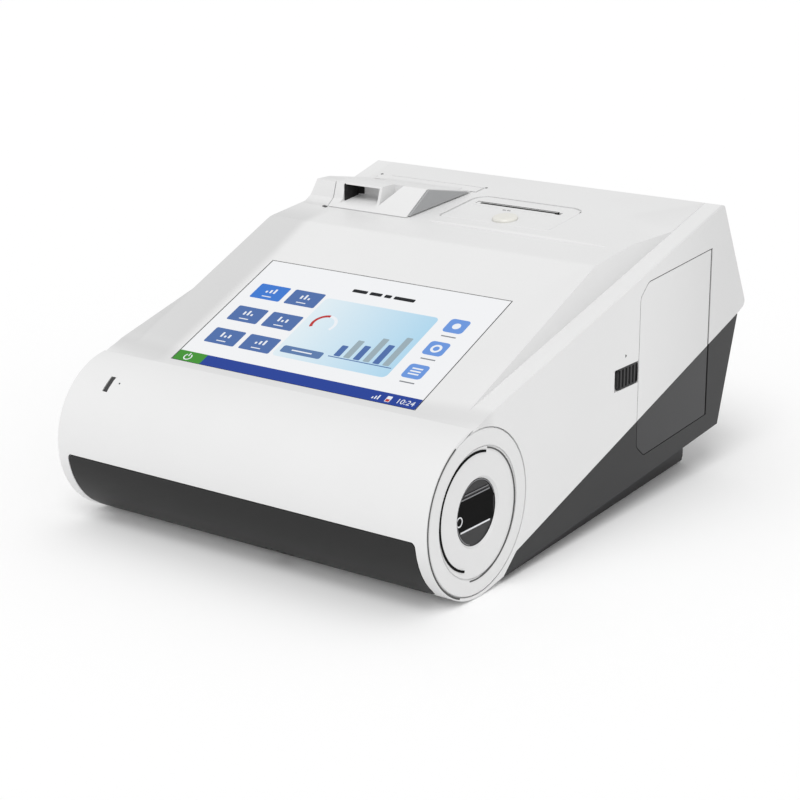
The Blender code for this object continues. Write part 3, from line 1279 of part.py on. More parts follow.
def make_hood():
    axis = flap_axis()
    hood = prism("hood_cover", hood_outline(GAP), HOOD_LEFT + GAP, -HOOD_RIGHT_REAR, SIDE_PLACE)
    block = prism("pocket_block", block_corners(GAP), HOOD_LEFT + GAP, POCKET_RIGHT + POCKET_WALL, SIDE_PLACE)
    boolean(hood, block, "UNION")
    side = hood_side_place()
    reach = CASE_DEPTH
    cut_low = -HOOD_SIDE_THICKNESS - GAP
    boolean(hood, box("hood_side_cut", (-reach, 0, cut_low), (reach, CASE_HEIGHT * 2, reach), side))
    half = HOOD_FLAP_THICKNESS / 2
    plug_left, plug_right = HOOD_LEFT + SEAM + GAP, HOOD_RIGHT_FRONT - PORT_LEDGE - GAP
    length = (HOOD_REAR_SETBACK - HOOD_FRONT_SETBACK - PORT_LEDGE) / math.cos(SHELF_PITCH) - half - GAP
    boolean(hood, box("hood_plug", (plug_left, -length, GAP - half),
                      (plug_right, -HOOD_FLAP_LENGTH / 2, half + GAP),
                      axis), "UNION")
    flap = box("hood_flap", (HOOD_PIN_LEFT, half - HOOD_FLAP_LENGTH, -half),
               (HOOD_PIN_RIGHT, half * 2, half), axis)
    rear = round_rear_tool("flap_rear", half * 2, HOOD_FLAP_LENGTH, -HOOD_PIN_LEFT + OVERRUN, axis)
    boolean(flap, rear, "INTERSECT")
    boolean(hood, flap, "UNION")
    front = FRONT_Y + HOOD_FRONT_SETBACK
    boolean(hood, pocket_tool(front))
    boolean(hood, hood_notch(front))
    boolean(hood, hood_hollow(front, plug_left + HOOD_WALL, plug_right - HOOD_WALL))
    for end in (1, -1):
        boolean(hood, flap_stub(f"flap_stub_{end}", end, 0), "UNION")
    finish(set_origin(settle(hood), axis.translation), "hood_cover", WHITE, 0.42)
    outline = [Vector((p.x - front, p.y)) for p in inset_outline(hood_outline(GAP), HOOD_SIDE_MARGIN)]
    plate = prism("hood_side_plate", outline, -HOOD_SIDE_THICKNESS, 0, side)
    finish(set_origin(plate, axis.translation), "hood_side_plate", GREY, 0.5)


def pocket_tool(front):
    """The card pocket in the hood's sloping front, with a floor that follows the shelf."""
    start, end = front - OVERRUN, front + POCKET_DEPTH
    roof = shelf_height(FRONT_Y + HOOD_TOP_SETBACK) + HOOD_RISE - POCKET_ROOF
    outline = rounded([(start, shelf_height(start) + HOOD_WALL, 0),
                       (end, shelf_height(end) + HOOD_WALL, HOOD_WALL),
                       (end, roof, 0), (start, roof, 0)])
    return prism("pocket", outline, POCKET_LEFT, POCKET_RIGHT, SIDE_PLACE)


def hood_hollow(front, left, right):
    """The space under the rear half of the hood, open downwards."""
    start = front + POCKET_DEPTH + HOOD_WALL
    end = FRONT_Y + HOOD_REAR_SETBACK - HOOD_FLAP_LENGTH - HOOD_WALL
    crest = FRONT_Y + HOOD_TOP_SETBACK
    rear = FRONT_Y + HOOD_REAR_SETBACK - HOOD_FLAP_LENGTH
    fall = (shelf_height(crest) + HOOD_RISE - shelf_height(rear)) / (rear - crest)

    def under(y):
        return shelf_height(rear) + (rear - y) * fall - HOOD_WALL

    low = shelf_height(start) - HOOD_RISE
    outline = [Vector((start, low)), Vector((end, low)), Vector((end, under(end))),
               Vector((start, under(start)))]
    return prism("hood_hollow", outline, left, right, SIDE_PLACE)


def hood_notch(front):
    """The finger groove to the right of the pocket: a V in the front view, rising to the rear."""
    left = POCKET_RIGHT + POCKET_WALL
    floor_z = shelf_height(front + POCKET_DEPTH) + HOOD_WALL / 2
    top = shelf_height(front) + HOOD_RISE * 2
    slope = (NOTCH_TOP_RIGHT - left) / (HOOD_RISE - HOOD_WALL)
    outline = [Vector((left, floor_z)), Vector((left + (top - floor_z) * slope, top)), Vector((left, top))]
    stand = Matrix.Translation((0, front - OVERRUN, 0)) @ Matrix.Rotation(math.pi / 2, 4, "X")
    return prism("hood_notch", outline, -POCKET_DEPTH - OVERRUN, 0, stand)


def make_port():
    place = shelf_place(FRONT_Y)
    scale = math.cos(SHELF_PITCH)
    front = (HOOD_FRONT_SETBACK + PORT_LEDGE) / scale - DECK_WALL
    rear = (HOOD_REAR_SETBACK - HOOD_FLAP_LENGTH) / scale - SEAM - GAP
    left, right = HOOD_LEFT - DECK_WALL, HOOD_RIGHT_FRONT - PORT_LEDGE + DECK_WALL
    top = -WALL - GAP
    low = top - DECK_DEPTH
    deck = box("port_deck", (left, front, low), (right, rear, top), place)
    boolean(deck, box("deck_hollow", (left + DECK_WALL, front + DECK_WALL, low + DECK_WALL),
                      (right - DECK_WALL, rear - DECK_WALL, top + OVERRUN), place))
    boolean(deck, box("deck_step", (left - OVERRUN, rear - DECK_STEP_LENGTH, top - DECK_STEP_DEPTH),
                      (HOOD_LEFT + SEAM + GAP, rear + OVERRUN, top + OVERRUN), place))
    finish(settle(deck), "port_deck", DARK, 0.55)
    floor = low + DECK_WALL + GAP
    middle = (POCKET_LEFT + POCKET_RIGHT) / 2
    step = front + DECK_WALL + HEATER_LENGTH / 3
    heater = box("heater_plate", (middle - HEATER_WIDTH / 2, step, floor),
                 (middle + HEATER_WIDTH / 2, step + HEATER_LENGTH, floor + HEATER_HEIGHT), place)
    finish(heater, "heater_plate", STEEL, 0.3, 1.0, False)
    step += HEATER_LENGTH + GAP
    block = box("contact_block", (middle - CONTACT_WIDTH / 2, step, floor),
                (middle + CONTACT_WIDTH / 2, step + CONTACT_LENGTH, floor + CONTACT_HEIGHT), place)
    bevel(block, EDGE_ROUND / 4, 1)
    finish(settle(block), "contact_block", BLACK, 0.4)


def crowned(name, points, low, high, rim, place):
    """A flat outline extruded from low to high, with its top edge rounded over by the rim."""
    steps = [math.pi / 2 * i / CROWN_STEPS for i in range(CROWN_STEPS + 1)]
    levels = [(0, low)] + [(rim * (1 - math.cos(a)), high - rim * (1 - math.sin(a))) for a in steps]
    bm = bmesh.new()
    rings = [[bm.verts.new((p.x, p.y, z)) for p in inset_outline(points, inset)] for inset, z in levels]
    for lower, upper in zip(rings, rings[1:]):
        for i, start in enumerate(lower):
            j = (i + 1) % len(lower)
            bm.faces.new((start, lower[j], upper[j], upper[i]))
    bm.faces.new(rings[0][::-1])
    bm.faces.new(rings[-1])
    return object_from(bm, name, place)


def make_printer():
    place = cover_place()
    half = (COVER_RIGHT - COVER_LEFT) / 2
    cover = crowned("printer_cover", cover_outline(0), -COVER_THICKNESS, 0, COVER_RIM, place)
    axis = cover_axis()
    boolean(cover, round_rear_tool("cover_rear", COVER_THICKNESS, COVER_LENGTH, half + OVERRUN, axis),
            "INTERSECT")
    slot = COVER_LENGTH - SLOT_FROM_REAR
    boolean(cover, box("paper_slot", (-SLOT_WIDTH / 2, slot - SLOT_LENGTH / 2, -COVER_THICKNESS - OVERRUN),
                       (SLOT_WIDTH / 2, slot + SLOT_LENGTH / 2, OVERRUN), place))
    button = button_place()
    boolean(cover, cylinder("button_hole", BUTTON_RADIUS + GAP, -COVER_THICKNESS - OVERRUN, OVERRUN, button,
                            32))
    for side in (1, -1):
        boolean(cover, cover_stub(f"cover_stub_{side}", side, 0), "UNION")
    finish(set_origin(settle(cover), axis.translation), "printer_cover", WHITE, 0.42)
    low = -COVER_THICKNESS - GAP
    profile = [(0, BUTTON_HEIGHT), (BUTTON_RADIUS - BUTTON_ROUND * 2, BUTTON_HEIGHT),
               (BUTTON_RADIUS - BUTTON_ROUND / 2, BUTTON_HEIGHT - BUTTON_ROUND / 3),
               (BUTTON_RADIUS, BUTTON_HEIGHT - BUTTON_ROUND), (BUTTON_RADIUS, low),
               (BUTTON_RADIUS + BUTTON_FLANGE, low), (BUTTON_RADIUS + BUTTON_FLANGE, low - BUTTON_FLANGE),
               (0, low - BUTTON_FLANGE)]
    made = turned("release_button", profile, button, 32)
    finish(set_origin(settle_place(made), button.translation), "release_button", SOFT_WHITE, 0.35)
    make_paper_bay(place, half)


def make_paper_bay(place, half):
    inner = half - TUB_MARGIN
    front, rear = TUB_MARGIN, COVER_LENGTH - TUB_MARGIN
    top = -WALL - GAP
    low = -PAPER_DROP - PAPER_RADIUS - GAP
    tub = box("paper_bay", (-inner - TUB_WALL, front - TUB_WALL, low - TUB_WALL),
              (inner + TUB_WALL, rear + TUB_WALL, top), place)
    boolean(tub, box("tub_hollow", (-inner, front, low), (inner, rear, top + OVERRUN), place))
    way = BUTTON_RADIUS + BUTTON_FLANGE + GAP
    boolean(tub, cylinder("button_way", way, -COVER_THICKNESS - BUTTON_FLANGE - BUTTON_HEIGHT, OVERRUN,
                          button_place(), 32))
    platen = place @ Matrix.Translation((0, COVER_LENGTH - PLATEN_FROM_REAR, -PLATEN_DROP))
    turn = Matrix.Rotation(math.pi / 2, 4, "Y")
    reach = inner + TUB_WALL
    boolean(tub, cylinder("platen_bores", PLATEN_SHAFT_RADIUS + GAP, -reach - OVERRUN, reach + OVERRUN,
                          platen @ turn, 20))
    finish(settle(tub), "paper_bay", DARK, 0.6)
    spindle = place @ Matrix.Translation((0, PAPER_FROM_FRONT, -PAPER_DROP))
    half_paper = PAPER_WIDTH / 2
    hole = CORE_RADIUS + GAP
    ring = [(hole, half_paper), (PAPER_RADIUS, half_paper), (PAPER_RADIUS, -half_paper), (hole, -half_paper),
            (hole, half_paper)]
    paper = turned("paper_roll", ring, spindle @ turn, 32)
    finish(set_origin(settle_place(paper), spindle.translation), "paper_roll", PAPER, 0.8)
    ring = [(CORE_BORE, half_paper), (CORE_RADIUS, half_paper), (CORE_RADIUS, -half_paper),
            (CORE_BORE, -half_paper),
            (CORE_BORE, half_paper)]
    core = turned("paper_core", ring, spindle @ turn, 20)
    finish(set_origin(settle_place(core), spindle.translation), "paper_core", SOFT_WHITE, 0.8)
    width = half_paper + TUB_WALL
    tail = reach + GEAR_WIDTH + GAP * 3
    shaft = PLATEN_SHAFT_RADIUS
    profile = [(0, tail), (shaft, tail), (shaft, width), (PLATEN_RADIUS, width), (PLATEN_RADIUS, -width),
               (shaft, -width), (shaft, -reach), (0, -reach)]
    roller = turned("platen_roller", profile, platen @ turn, 20)
    finish(set_origin(settle_place(roller), platen.translation), "platen_roller", CHARCOAL, 0.8)
    root = GEAR_RADIUS - GEAR_TOOTH
    flanks = [(-GEAR_ROOT_SHARE, root), (-GEAR_TIP_SHARE, GEAR_RADIUS), (GEAR_TIP_SHARE, GEAR_RADIUS),
              (GEAR_ROOT_SHARE, root)]
    turns = [(math.tau * (index + share) / GEAR_TEETH, radius) for index in range(GEAR_TEETH)
             for share, radius in flanks]
    teeth = [Vector((radius * math.cos(angle), radius * math.sin(angle))) for angle, radius in turns]
    gear = prism("platen_gear", teeth, reach + GAP, reach + GAP + GEAR_WIDTH, platen @ turn)
    boolean(gear, cylinder("gear_bore", shaft + GAP / 3, reach - OVERRUN, reach + OVERRUN * 2,
                           platen @ turn, 20))
    finish(set_origin(settle(gear), platen.translation), "platen_gear", SOFT_WHITE, 0.5)
    head_rear = rear - GAP
    head = box("thermal_head", (-half_paper, head_rear - HEAD_THICKNESS,
                                -COVER_THICKNESS - GAP * 3 - HEAD_HEIGHT),
               (half_paper, head_rear, -COVER_THICKNESS - GAP * 3), place)
    bevel(head, EDGE_ROUND / 3, 1)
    finish(settle(head), "thermal_head", STEEL, 0.35, 1.0)


def make_electronics():
    y = FRONT_Y + BOARD_SETBACK
    low = PAN_HEIGHT + WALL + POST_HEIGHT + GAP
    half = BOARD_WIDTH / 2
    board = box("main_board", (BOARD_X - half, y, low),
                (BOARD_X + half, y + BOARD_LENGTH, low + BOARD_THICKNESS))
    finish(board, "main_board", BOARD_GREEN, 0.5, 0.0, False)
    base = low + BOARD_THICKNESS + GAP
    half = HEAT_SINK_SIZE / 2
    middle = y + BOARD_LENGTH / 2
    sink = box("heat_sink", (BOARD_X - half, middle - half, base),
               (BOARD_X + half, middle + half, base + HEAT_SINK_HEIGHT))
    pitch = HEAT_SINK_SIZE * 2 / (HEAT_SINK_FINS * 2 - 1)
    for index in range(HEAT_SINK_FINS - 1):
        start = BOARD_X - half + pitch / 2 + pitch * index
        boolean(sink, box(f"sink_slot_{index}", (start, middle - half - OVERRUN, base + HEAT_SINK_HEIGHT / 4),
                          (start + pitch / 2, middle + half + OVERRUN, base + HEAT_SINK_HEIGHT + OVERRUN)))
    finish(settle(sink), "heat_sink", STEEL, 0.4, 1.0)
    front = FRONT_Y + BATTERY_SETBACK
    low = PAN_HEIGHT + WALL + GAP
    half = BATTERY_WIDTH / 2
    battery = box("battery_pack", (BATTERY_X - half, front, low),
                  (BATTERY_X + half, front + BATTERY_LENGTH, low + BATTERY_HEIGHT))
    bevel(battery, BATTERY_ROUND)
    finish(settle(battery), "battery_pack", BLUE, 0.4)
    finish(battery_cover_box("battery_cover", 0), "battery_cover", DARK, 0.5)


def make_sockets():
    place = rear_wall_place(SOCKET_PANEL_RISE)
    half, high = SOCKET_PANEL_WIDTH / 2, SOCKET_PANEL_HEIGHT / 2
    thick = SOCKET_PANEL_THICKNESS
    panel = box("socket_panel", (-half, -high, -thick + GAP), (half, high, 0), place)
    back = -thick

    def cased(name, x, width, height, tongue):
        """A square socket: a case with its hollow open to the rear, and its contact tongue."""
        w, h = width / 2, height / 2
        shell = box(name, (x - w, -h, back - SOCKET_DEPTH), (x + w, h, back), place)
        inner_w, inner_h = w - SOCKET_WALL, h - SOCKET_WALL
        boolean(shell, box(name + "_hollow", (x - inner_w, -inner_h, back - SOCKET_DEPTH + SOCKET_WALL),
                           (x + inner_w, inner_h, back + OVERRUN), place))
        if tongue:
            tongue_w = inner_w * TONGUE_SHARE
            boolean(shell, box(name + "_tongue", (x - tongue_w, 0, back - SOCKET_DEPTH + SOCKET_WALL / 2),
                               (x + tongue_w, inner_h / 2, back - SOCKET_WALL), place), "UNION")
        boolean(panel, box(name + "_hole", (x - inner_w, -inner_h, -thick * 3), (x + inner_w, inner_h, OVERRUN),
                           place))
        finish(settle(shell), name, STEEL, 0.3, 1.0)

    cased("network_port", NETWORK_X, NETWORK_WIDTH, NETWORK_HEIGHT, False)
    for index, x in enumerate(USB_XS):
        cased(f"usb_port_{index + 1}", x, USB_WIDTH, USB_HEIGHT, True)
    jack_place = place @ Matrix.Translation((POWER_JACK_X, 0, 0))
    bore = POWER_JACK_RADIUS - JACK_WALL
    pin = JACK_PIN_RADIUS
    floor = back - SOCKET_DEPTH
    profile = [(0, back - SOCKET_WALL), (pin, back - SOCKET_WALL), (pin, floor + SOCKET_WALL),
               (bore, floor + SOCKET_WALL), (bore, back), (POWER_JACK_RADIUS, back), (POWER_JACK_RADIUS, floor),
               (0, floor)]
    jack = turned("power_jack", profile, jack_place, 28)
    finish(settle_place(jack), "power_jack", BLACK, 0.4)
    boolean(panel, cylinder("jack_hole", bore, -thick * 3, OVERRUN, jack_place, 28))
    finish(settle(panel), "socket_panel", CHARCOAL, 0.5)


def make_feet_and_screws():
    for index, (x, y) in enumerate(foot_places()):
        top = PAN_HEIGHT + FOOT_GRIP - GAP
        edge = PAN_HEIGHT / 4
        profile = [(0, top), (FOOT_RADIUS, top), (FOOT_RADIUS, edge), (FOOT_RADIUS - edge, 0), (0, 0)]
        foot = turned(f"rubber_foot_{index + 1}", profile, Matrix.Translation((x, y, 0)), 16)
        finish(settle_place(foot), f"rubber_foot_{index + 1}", BLACK, 0.9)
    for index, (x, y) in enumerate(screw_places()):
        low = PAN_HEIGHT + GAP
        screw = cylinder(f"case_screw_{index + 1}", SCREW_RADIUS, low, low + SCREW_DEPTH - GAP,
                         Matrix.Translation((x, y, 0)), 12)
        finish(screw, f"case_screw_{index + 1}", STEEL, 0.3, 1.0)


def new_part_collections():
    return new_collection("blood_gas_analyzer"), new_collection("cutters")


for thing in list(bpy.data.objects):
    bpy.data.objects.remove(thing, do_unlink=True)
PARTS, CUTTERS = new_part_collections()
make_upper_shell()
make_front_panel()
make_base_shell()
make_disc_caps()
make_scanner()
make_display()
make_indicator_lens()
make_speaker()
make_side_door()
make_latch()
make_bay()
make_hood()
make_port()
make_printer()
make_electronics()
make_sockets()
make_feet_and_screws()
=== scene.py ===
"""Looks of a portable blood gas analyzer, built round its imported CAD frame.

Metres, +Z up, front at -Y, in the frame's own coordinates.
"""
import json
import math

import bmesh
import bpy
from mathutils import Matrix, Vector


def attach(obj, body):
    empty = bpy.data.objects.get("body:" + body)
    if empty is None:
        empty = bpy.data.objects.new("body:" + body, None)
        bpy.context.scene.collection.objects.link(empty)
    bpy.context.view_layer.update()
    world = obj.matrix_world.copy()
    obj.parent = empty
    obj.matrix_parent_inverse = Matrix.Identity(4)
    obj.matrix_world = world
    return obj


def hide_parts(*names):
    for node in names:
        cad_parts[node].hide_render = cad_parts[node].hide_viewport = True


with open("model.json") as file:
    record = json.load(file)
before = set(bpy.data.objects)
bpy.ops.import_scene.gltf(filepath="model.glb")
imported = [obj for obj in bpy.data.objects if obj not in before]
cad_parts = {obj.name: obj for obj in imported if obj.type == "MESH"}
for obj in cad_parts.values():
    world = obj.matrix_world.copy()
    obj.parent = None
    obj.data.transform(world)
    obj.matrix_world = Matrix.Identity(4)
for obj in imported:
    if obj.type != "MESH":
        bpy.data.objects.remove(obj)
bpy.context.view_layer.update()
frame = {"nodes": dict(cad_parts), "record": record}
NODES = frame["nodes"]

# Camera, fitted to the photograph's viewing angle
CAMERA_PLACE = (0.6322, -0.8805, 0.3830)
CAMERA_AZIMUTH = math.radians(36.136)
CAMERA_ELEVATION = math.radians(17.062)
CAMERA_ROLL = math.radians(-0.163)
CAMERA_LENS = 92.33
SENSOR = 36.0
CLIP_END = 20

# Studio light: powers, where the light comes from, and spreads in degrees
AMBIENT = 0.68
KEY_POWER, KEY_FROM, KEY_SPREAD = 1.20, (0.25, -0.60, 0.95), 35
FILL_POWER, FILL_FROM, FILL_SPREAD = 0.20, (0.90, -0.10, 0.45), 60
FLOOR_SHADE, FLOOR_ROUGHNESS, FLOOR_REACH = 0.98, 0.95, 8

# Moulded surfaces
CLOUD_SCALE, CLOUD_DETAIL = 14, 3
GLOSS_SPREAD = 0.08
GRAIN_DETAIL, GRAIN_STRENGTH = 2, 0.5

# Edges and corners
EDGE_ANGLE, EDGE_SEGMENTS = math.radians(32), 2
SHARP_ANGLE, FLAT_ANGLE = math.radians(40), math.radians(0.3)
CORNER_SEGMENTS = 4
NORMAL_WEIGHT = 80
MERGE_DISTANCE = 1e-5
NEAR = 0.0001


def add_camera():
    a, e, r = CAMERA_AZIMUTH, CAMERA_ELEVATION, CAMERA_ROLL
    back = Vector((math.sin(a) * math.cos(e), -math.cos(a) * math.cos(e), math.sin(e)))
    level = Vector((math.cos(a), math.sin(a), 0))
    above = back.cross(level)
    right = level * math.cos(r) + above * math.sin(r)
    up = above * math.cos(r) - level * math.sin(r)
    data = bpy.data.cameras.new("camera")
    data.lens, data.sensor_width, data.clip_end = CAMERA_LENS, SENSOR, CLIP_END
    camera = bpy.data.objects.new("camera", data)
    bpy.context.scene.collection.objects.link(camera)
    turned = Matrix((right, up, back)).transposed().to_4x4()
    camera.matrix_world = Matrix.Translation(CAMERA_PLACE) @ turned
    bpy.context.scene.camera = camera


def sun_light(name, towards, power, spread):
    data = bpy.data.lights.new(name, "SUN")
    data.energy, data.angle = power, math.radians(spread)
    light = bpy.data.objects.new(name, data)
    bpy.context.scene.collection.objects.link(light)
    light.rotation_euler = Vector(towards).to_track_quat("Z", "Y").to_euler()


def add_studio():
    """Pale studio: white backdrop, soft light from all round, and a key from the front right."""
    world = bpy.data.worlds.new("studio")
    bpy.context.scene.world = world
    world.use_nodes = True
    nodes, links = world.node_tree.nodes, world.node_tree.links
    back = nodes["Background"]
    path = nodes.new("ShaderNodeLightPath")
    mix = nodes.new("ShaderNodeMix")
    mix.data_type = "RGBA"
    mix.inputs["A"].default_value = (*[AMBIENT] * 3, 1)
    mix.inputs["B"].default_value = (1, 1, 1, 1)
    links.new(path.outputs["Is Camera Ray"], mix.inputs["Factor"])
    links.new(mix.outputs["Result"], back.inputs["Color"])
    sun_light("key", KEY_FROM, KEY_POWER, KEY_SPREAD)
    sun_light("fill", FILL_FROM, FILL_POWER, FILL_SPREAD)
    bm = bmesh.new()
    bmesh.ops.create_grid(bm, x_segments=1, y_segments=1, size=FLOOR_REACH)
    mesh = bpy.data.meshes.new("floor")
    bm.to_mesh(mesh)
    bm.free()
    floor = bpy.data.objects.new("floor", mesh)
    bpy.context.scene.collection.objects.link(floor)
    mesh.materials.append(floor_finish())


def floor_finish():
    """White paper under the object, which takes its soft shadow."""
    made, shader = new_finish("floor_paper")[:2]
    shader.inputs["Base Color"].default_value = (*[FLOOR_SHADE] * 3, 1)
    shader.inputs["Roughness"].default_value = FLOOR_ROUGHNESS
    shader.inputs["Specular IOR Level"].default_value = 0.0
    return made


def new_finish(name):
    made = bpy.data.materials.new(name)
    made.use_nodes = True
    nodes, links = made.node_tree.nodes, made.node_tree.links
    return made, nodes["Principled BSDF"], nodes, links


def moulded(name, colour, roughness, grain=0.00002, grain_size=0.0006, shade=0.03, metallic=0.0,
             specular=0.5):
    """A moulded or cast finish: fine surface grain, slight unevenness of colour and gloss."""
    made, shader, nodes, links = new_finish(name)
    place = nodes.new("ShaderNodeTexCoord")
    cloud = nodes.new("ShaderNodeTexNoise")
    cloud.inputs["Scale"].default_value = CLOUD_SCALE
    cloud.inputs["Detail"].default_value = CLOUD_DETAIL
    links.new(place.outputs["Object"], cloud.inputs["Vector"])
    tint = nodes.new("ShaderNodeMix")
    tint.data_type = "RGBA"
    tint.inputs["A"].default_value = (*[c * (1 - shade) for c in colour[:3]], 1)
    tint.inputs["B"].default_value = (*[min(1, c * (1 + shade)) for c in colour[:3]], 1)
    links.new(cloud.outputs["Fac"], tint.inputs["Factor"])
    links.new(tint.outputs["Result"], shader.inputs["Base Color"])
    gloss = nodes.new("ShaderNodeMapRange")
    gloss.inputs["To Min"].default_value = roughness * (1 - GLOSS_SPREAD)
    gloss.inputs["To Max"].default_value = roughness * (1 + GLOSS_SPREAD)
    links.new(cloud.outputs["Fac"], gloss.inputs["Value"])
    links.new(gloss.outputs["Result"], shader.inputs["Roughness"])
    speck = nodes.new("ShaderNodeTexNoise")
    speck.inputs["Scale"].default_value = 1 / grain_size
    speck.inputs["Detail"].default_value = GRAIN_DETAIL
    links.new(place.outputs["Object"], speck.inputs["Vector"])
    bump = nodes.new("ShaderNodeBump")
    bump.inputs["Strength"].default_value = GRAIN_STRENGTH
    bump.inputs["Distance"].default_value = grain
    links.new(speck.outputs["Fac"], bump.inputs["Height"])
    links.new(bump.outputs["Normal"], shader.inputs["Normal"])
    shader.inputs["Metallic"].default_value = metallic
    shader.inputs["Specular IOR Level"].default_value = specular
    return made


def shade_zones(made, zones):
    """Darkens a finish softly inside boxes of the object's own space, as its hollows are in the photograph."""
    nodes, links = made.node_tree.nodes, made.node_tree.links
    shader = nodes["Principled BSDF"]
    colour = shader.inputs["Base Color"].links[0].from_socket
    place = nodes.new("ShaderNodeTexCoord")
    split = nodes.new("ShaderNodeSeparateXYZ")
    links.new(place.outputs["Object"], split.inputs["Vector"])
    for depth, ramps in zones:
        factor = None
        for axis, start, end in ramps:
            ramp = nodes.new("ShaderNodeMapRange")
            ramp.interpolation_type = "SMOOTHSTEP"
            ramp.inputs["From Min"].default_value, ramp.inputs["From Max"].default_value = start, end
            links.new(split.outputs[axis], ramp.inputs["Value"])
            if factor is None:
                factor = ramp.outputs["Result"]
                continue
            product = nodes.new("ShaderNodeMath")
            product.operation = "MULTIPLY"
            links.new(factor, product.inputs[0])
            links.new(ramp.outputs["Result"], product.inputs[1])
            factor = product.outputs["Value"]
        scaled = nodes.new("ShaderNodeMath")
        scaled.operation = "MULTIPLY"
        links.new(factor, scaled.inputs[0])
        scaled.inputs[1].default_value = depth
        mix = nodes.new("ShaderNodeMix")
        mix.data_type = "RGBA"
        links.new(scaled.outputs["Value"], mix.inputs["Factor"])
        links.new(colour, mix.inputs["A"])
        mix.inputs["B"].default_value = (0, 0, 0, 1)
        colour = mix.outputs["Result"]
    links.new(colour, shader.inputs["Base Color"])


FINISHES = {
    "shell_white": moulded("shell_white", (0.775, 0.775, 0.775), 0.40),
    "cap_white": moulded("cap_white", (0.76, 0.76, 0.76), 0.40),
    "button_cream": moulded("button_cream", (0.77, 0.76, 0.71), 0.32),
    "hood_grey": moulded("hood_grey", (0.36, 0.365, 0.37), 0.45),
    "base_dark": moulded("base_dark", (0.024, 0.024, 0.025), 0.5, 0.00004, specular=0.35),
    "door_dark": moulded("door_dark", (0.022, 0.022, 0.024), 0.35, specular=0.35),
    "panel_dark": moulded("panel_dark", (0.014, 0.014, 0.014), 0.5, 0.00004, specular=0.3),
    "trim_black": moulded("trim_black", (0.040, 0.040, 0.041), 0.4, specular=0.4),
    "display_glass": moulded("display_glass", (0.02, 0.02, 0.022), 0.10, 0.0),
    "scanner_glass": moulded("scanner_glass", (0.020, 0.020, 0.021), 0.12, 0.0, specular=0.25),
    "zinc_steel": moulded("zinc_steel", (0.60, 0.61, 0.62), 0.35, metallic=1.0),
    "alloy": moulded("alloy", (0.70, 0.71, 0.72), 0.4, metallic=1.0),
    "foot_rubber": moulded("foot_rubber", (0.02, 0.02, 0.02), 0.85),
    "circuit_board": moulded("circuit_board", (0.02, 0.13, 0.06), 0.4),
    "battery_wrap": moulded("battery_wrap", (0.05, 0.16, 0.42), 0.35),
    "pack_case": moulded("pack_case", (0.80, 0.80, 0.78), 0.4),
    "thermal_paper": moulded("thermal_paper", (0.82, 0.81, 0.77), 0.8),
    "mark_grey": moulded("mark_grey", (0.22, 0.22, 0.23), 0.5),
    "seam_black": moulded("seam_black", (0.004, 0.004, 0.004), 0.8, specular=0.1),
    "seam_grey": moulded("seam_grey", (0.10, 0.10, 0.10), 0.8, specular=0.1),
    "mark_light": moulded("mark_light", (0.75, 0.76, 0.78), 0.4),
}


# Soft shade on the left frame, on the side to the rear and on the front of the roll's crown
shade_zones(FINISHES["shell_white"], [
    (0.18, [("X", -0.0785, -0.0870), ("Y", -0.125, -0.095), ("Y", 0.050, 0.000), ("Z", 0.070, 0.088)]),
    (0.13, [("X", 0.117, 0.1185), ("Y", 0.020, 0.150)]),
    (0.10, [("Y", -0.120, -0.112), ("Y", -0.100, -0.109), ("Z", 0.080, 0.086)]),
])


def own_finish(obj, slot):
    obj.data.materials.clear()
    obj.data.materials.append(FINISHES[slot])


def widen_pan_into_shadow(bm):
    """Flares the dark pan's sides out to the front and lowers its floor, so that its dark side stands in for the
    contact shadow under the skirt there: painted shadow.
    """
    for v in bm.verts:
        if abs(abs(v.co.x) - PAN_SIDE) < NEAR and v.co.y < 0:
            v.co.x = math.copysign(PAN_SIDE_AS_SHADOW, v.co.x)
        if v.co.z < PAN_FLOOR + NEAR:
            v.co.z = PAN_FLOOR_AS_SHADOW


def softened(node, width, body):
    """A merged copy of a CAD piece with its edges broken, which stands for it."""
    source = NODES[node]
    bm = bmesh.new()
    bm.from_mesh(source.data)
    bmesh.ops.remove_doubles(bm, verts=bm.verts, dist=MERGE_DISTANCE)
    bmesh.ops.dissolve_limit(bm, angle_limit=FLAT_ANGLE, verts=bm.verts, edges=bm.edges)
    if node == "base_shell":
        widen_pan_into_shadow(bm)
    mesh = bpy.data.meshes.new(node + "_soft")
    bm.to_mesh(mesh)
    bm.free()
    obj = bpy.data.objects.new(node + "_soft", mesh)
    bpy.context.scene.collection.objects.link(obj)
    edge = obj.modifiers.new("broken_edges", "BEVEL")
    edge.width = width
    edge.segments = EDGE_SEGMENTS
    edge.limit_method = "ANGLE"
    edge.angle_limit = EDGE_ANGLE
    edge.harden_normals = False
    mesh.shade_smooth()
    fair = obj.modifiers.new("fair_normals", "WEIGHTED_NORMAL")
    fair.keep_sharp = True
    fair.weight = NORMAL_WEIGHT
    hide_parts(node)
    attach(obj, body)
    return obj


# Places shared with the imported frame
GLASS_EDGE, GLASS_PITCH = (0, -0.1111, 0.0869), math.radians(23.17)
GLASS_PLACE = Matrix.Translation(GLASS_EDGE) @ Matrix.Rotation(GLASS_PITCH, 4, "X")
SHELF_REAR, SHELF_TOP, SHELF_PITCH = 0.1275, 0.153, math.radians(6.47)
ROLL_Y, ROLL_Z, ROLL_RADIUS = -0.1141, 0.0437, 0.0434
SIDE_X = 0.119
# Pan flared out and lowered: its dark side is painted shadow under the skirt
PAN_SIDE, PAN_SIDE_AS_SHADOW = 0.101, 0.1165
PAN_FLOOR, PAN_FLOOR_AS_SHADOW = 0.0026, 0.0014


def shelf_place(x, y, turn=0):
    height = SHELF_TOP - (SHELF_REAR - y) * math.tan(SHELF_PITCH)
    tilt = Matrix.Rotation(SHELF_PITCH, 4, "X") @ Matrix.Rotation(math.radians(turn), 4, "Z")
    return Matrix.Translation((x, y, height)) @ tilt


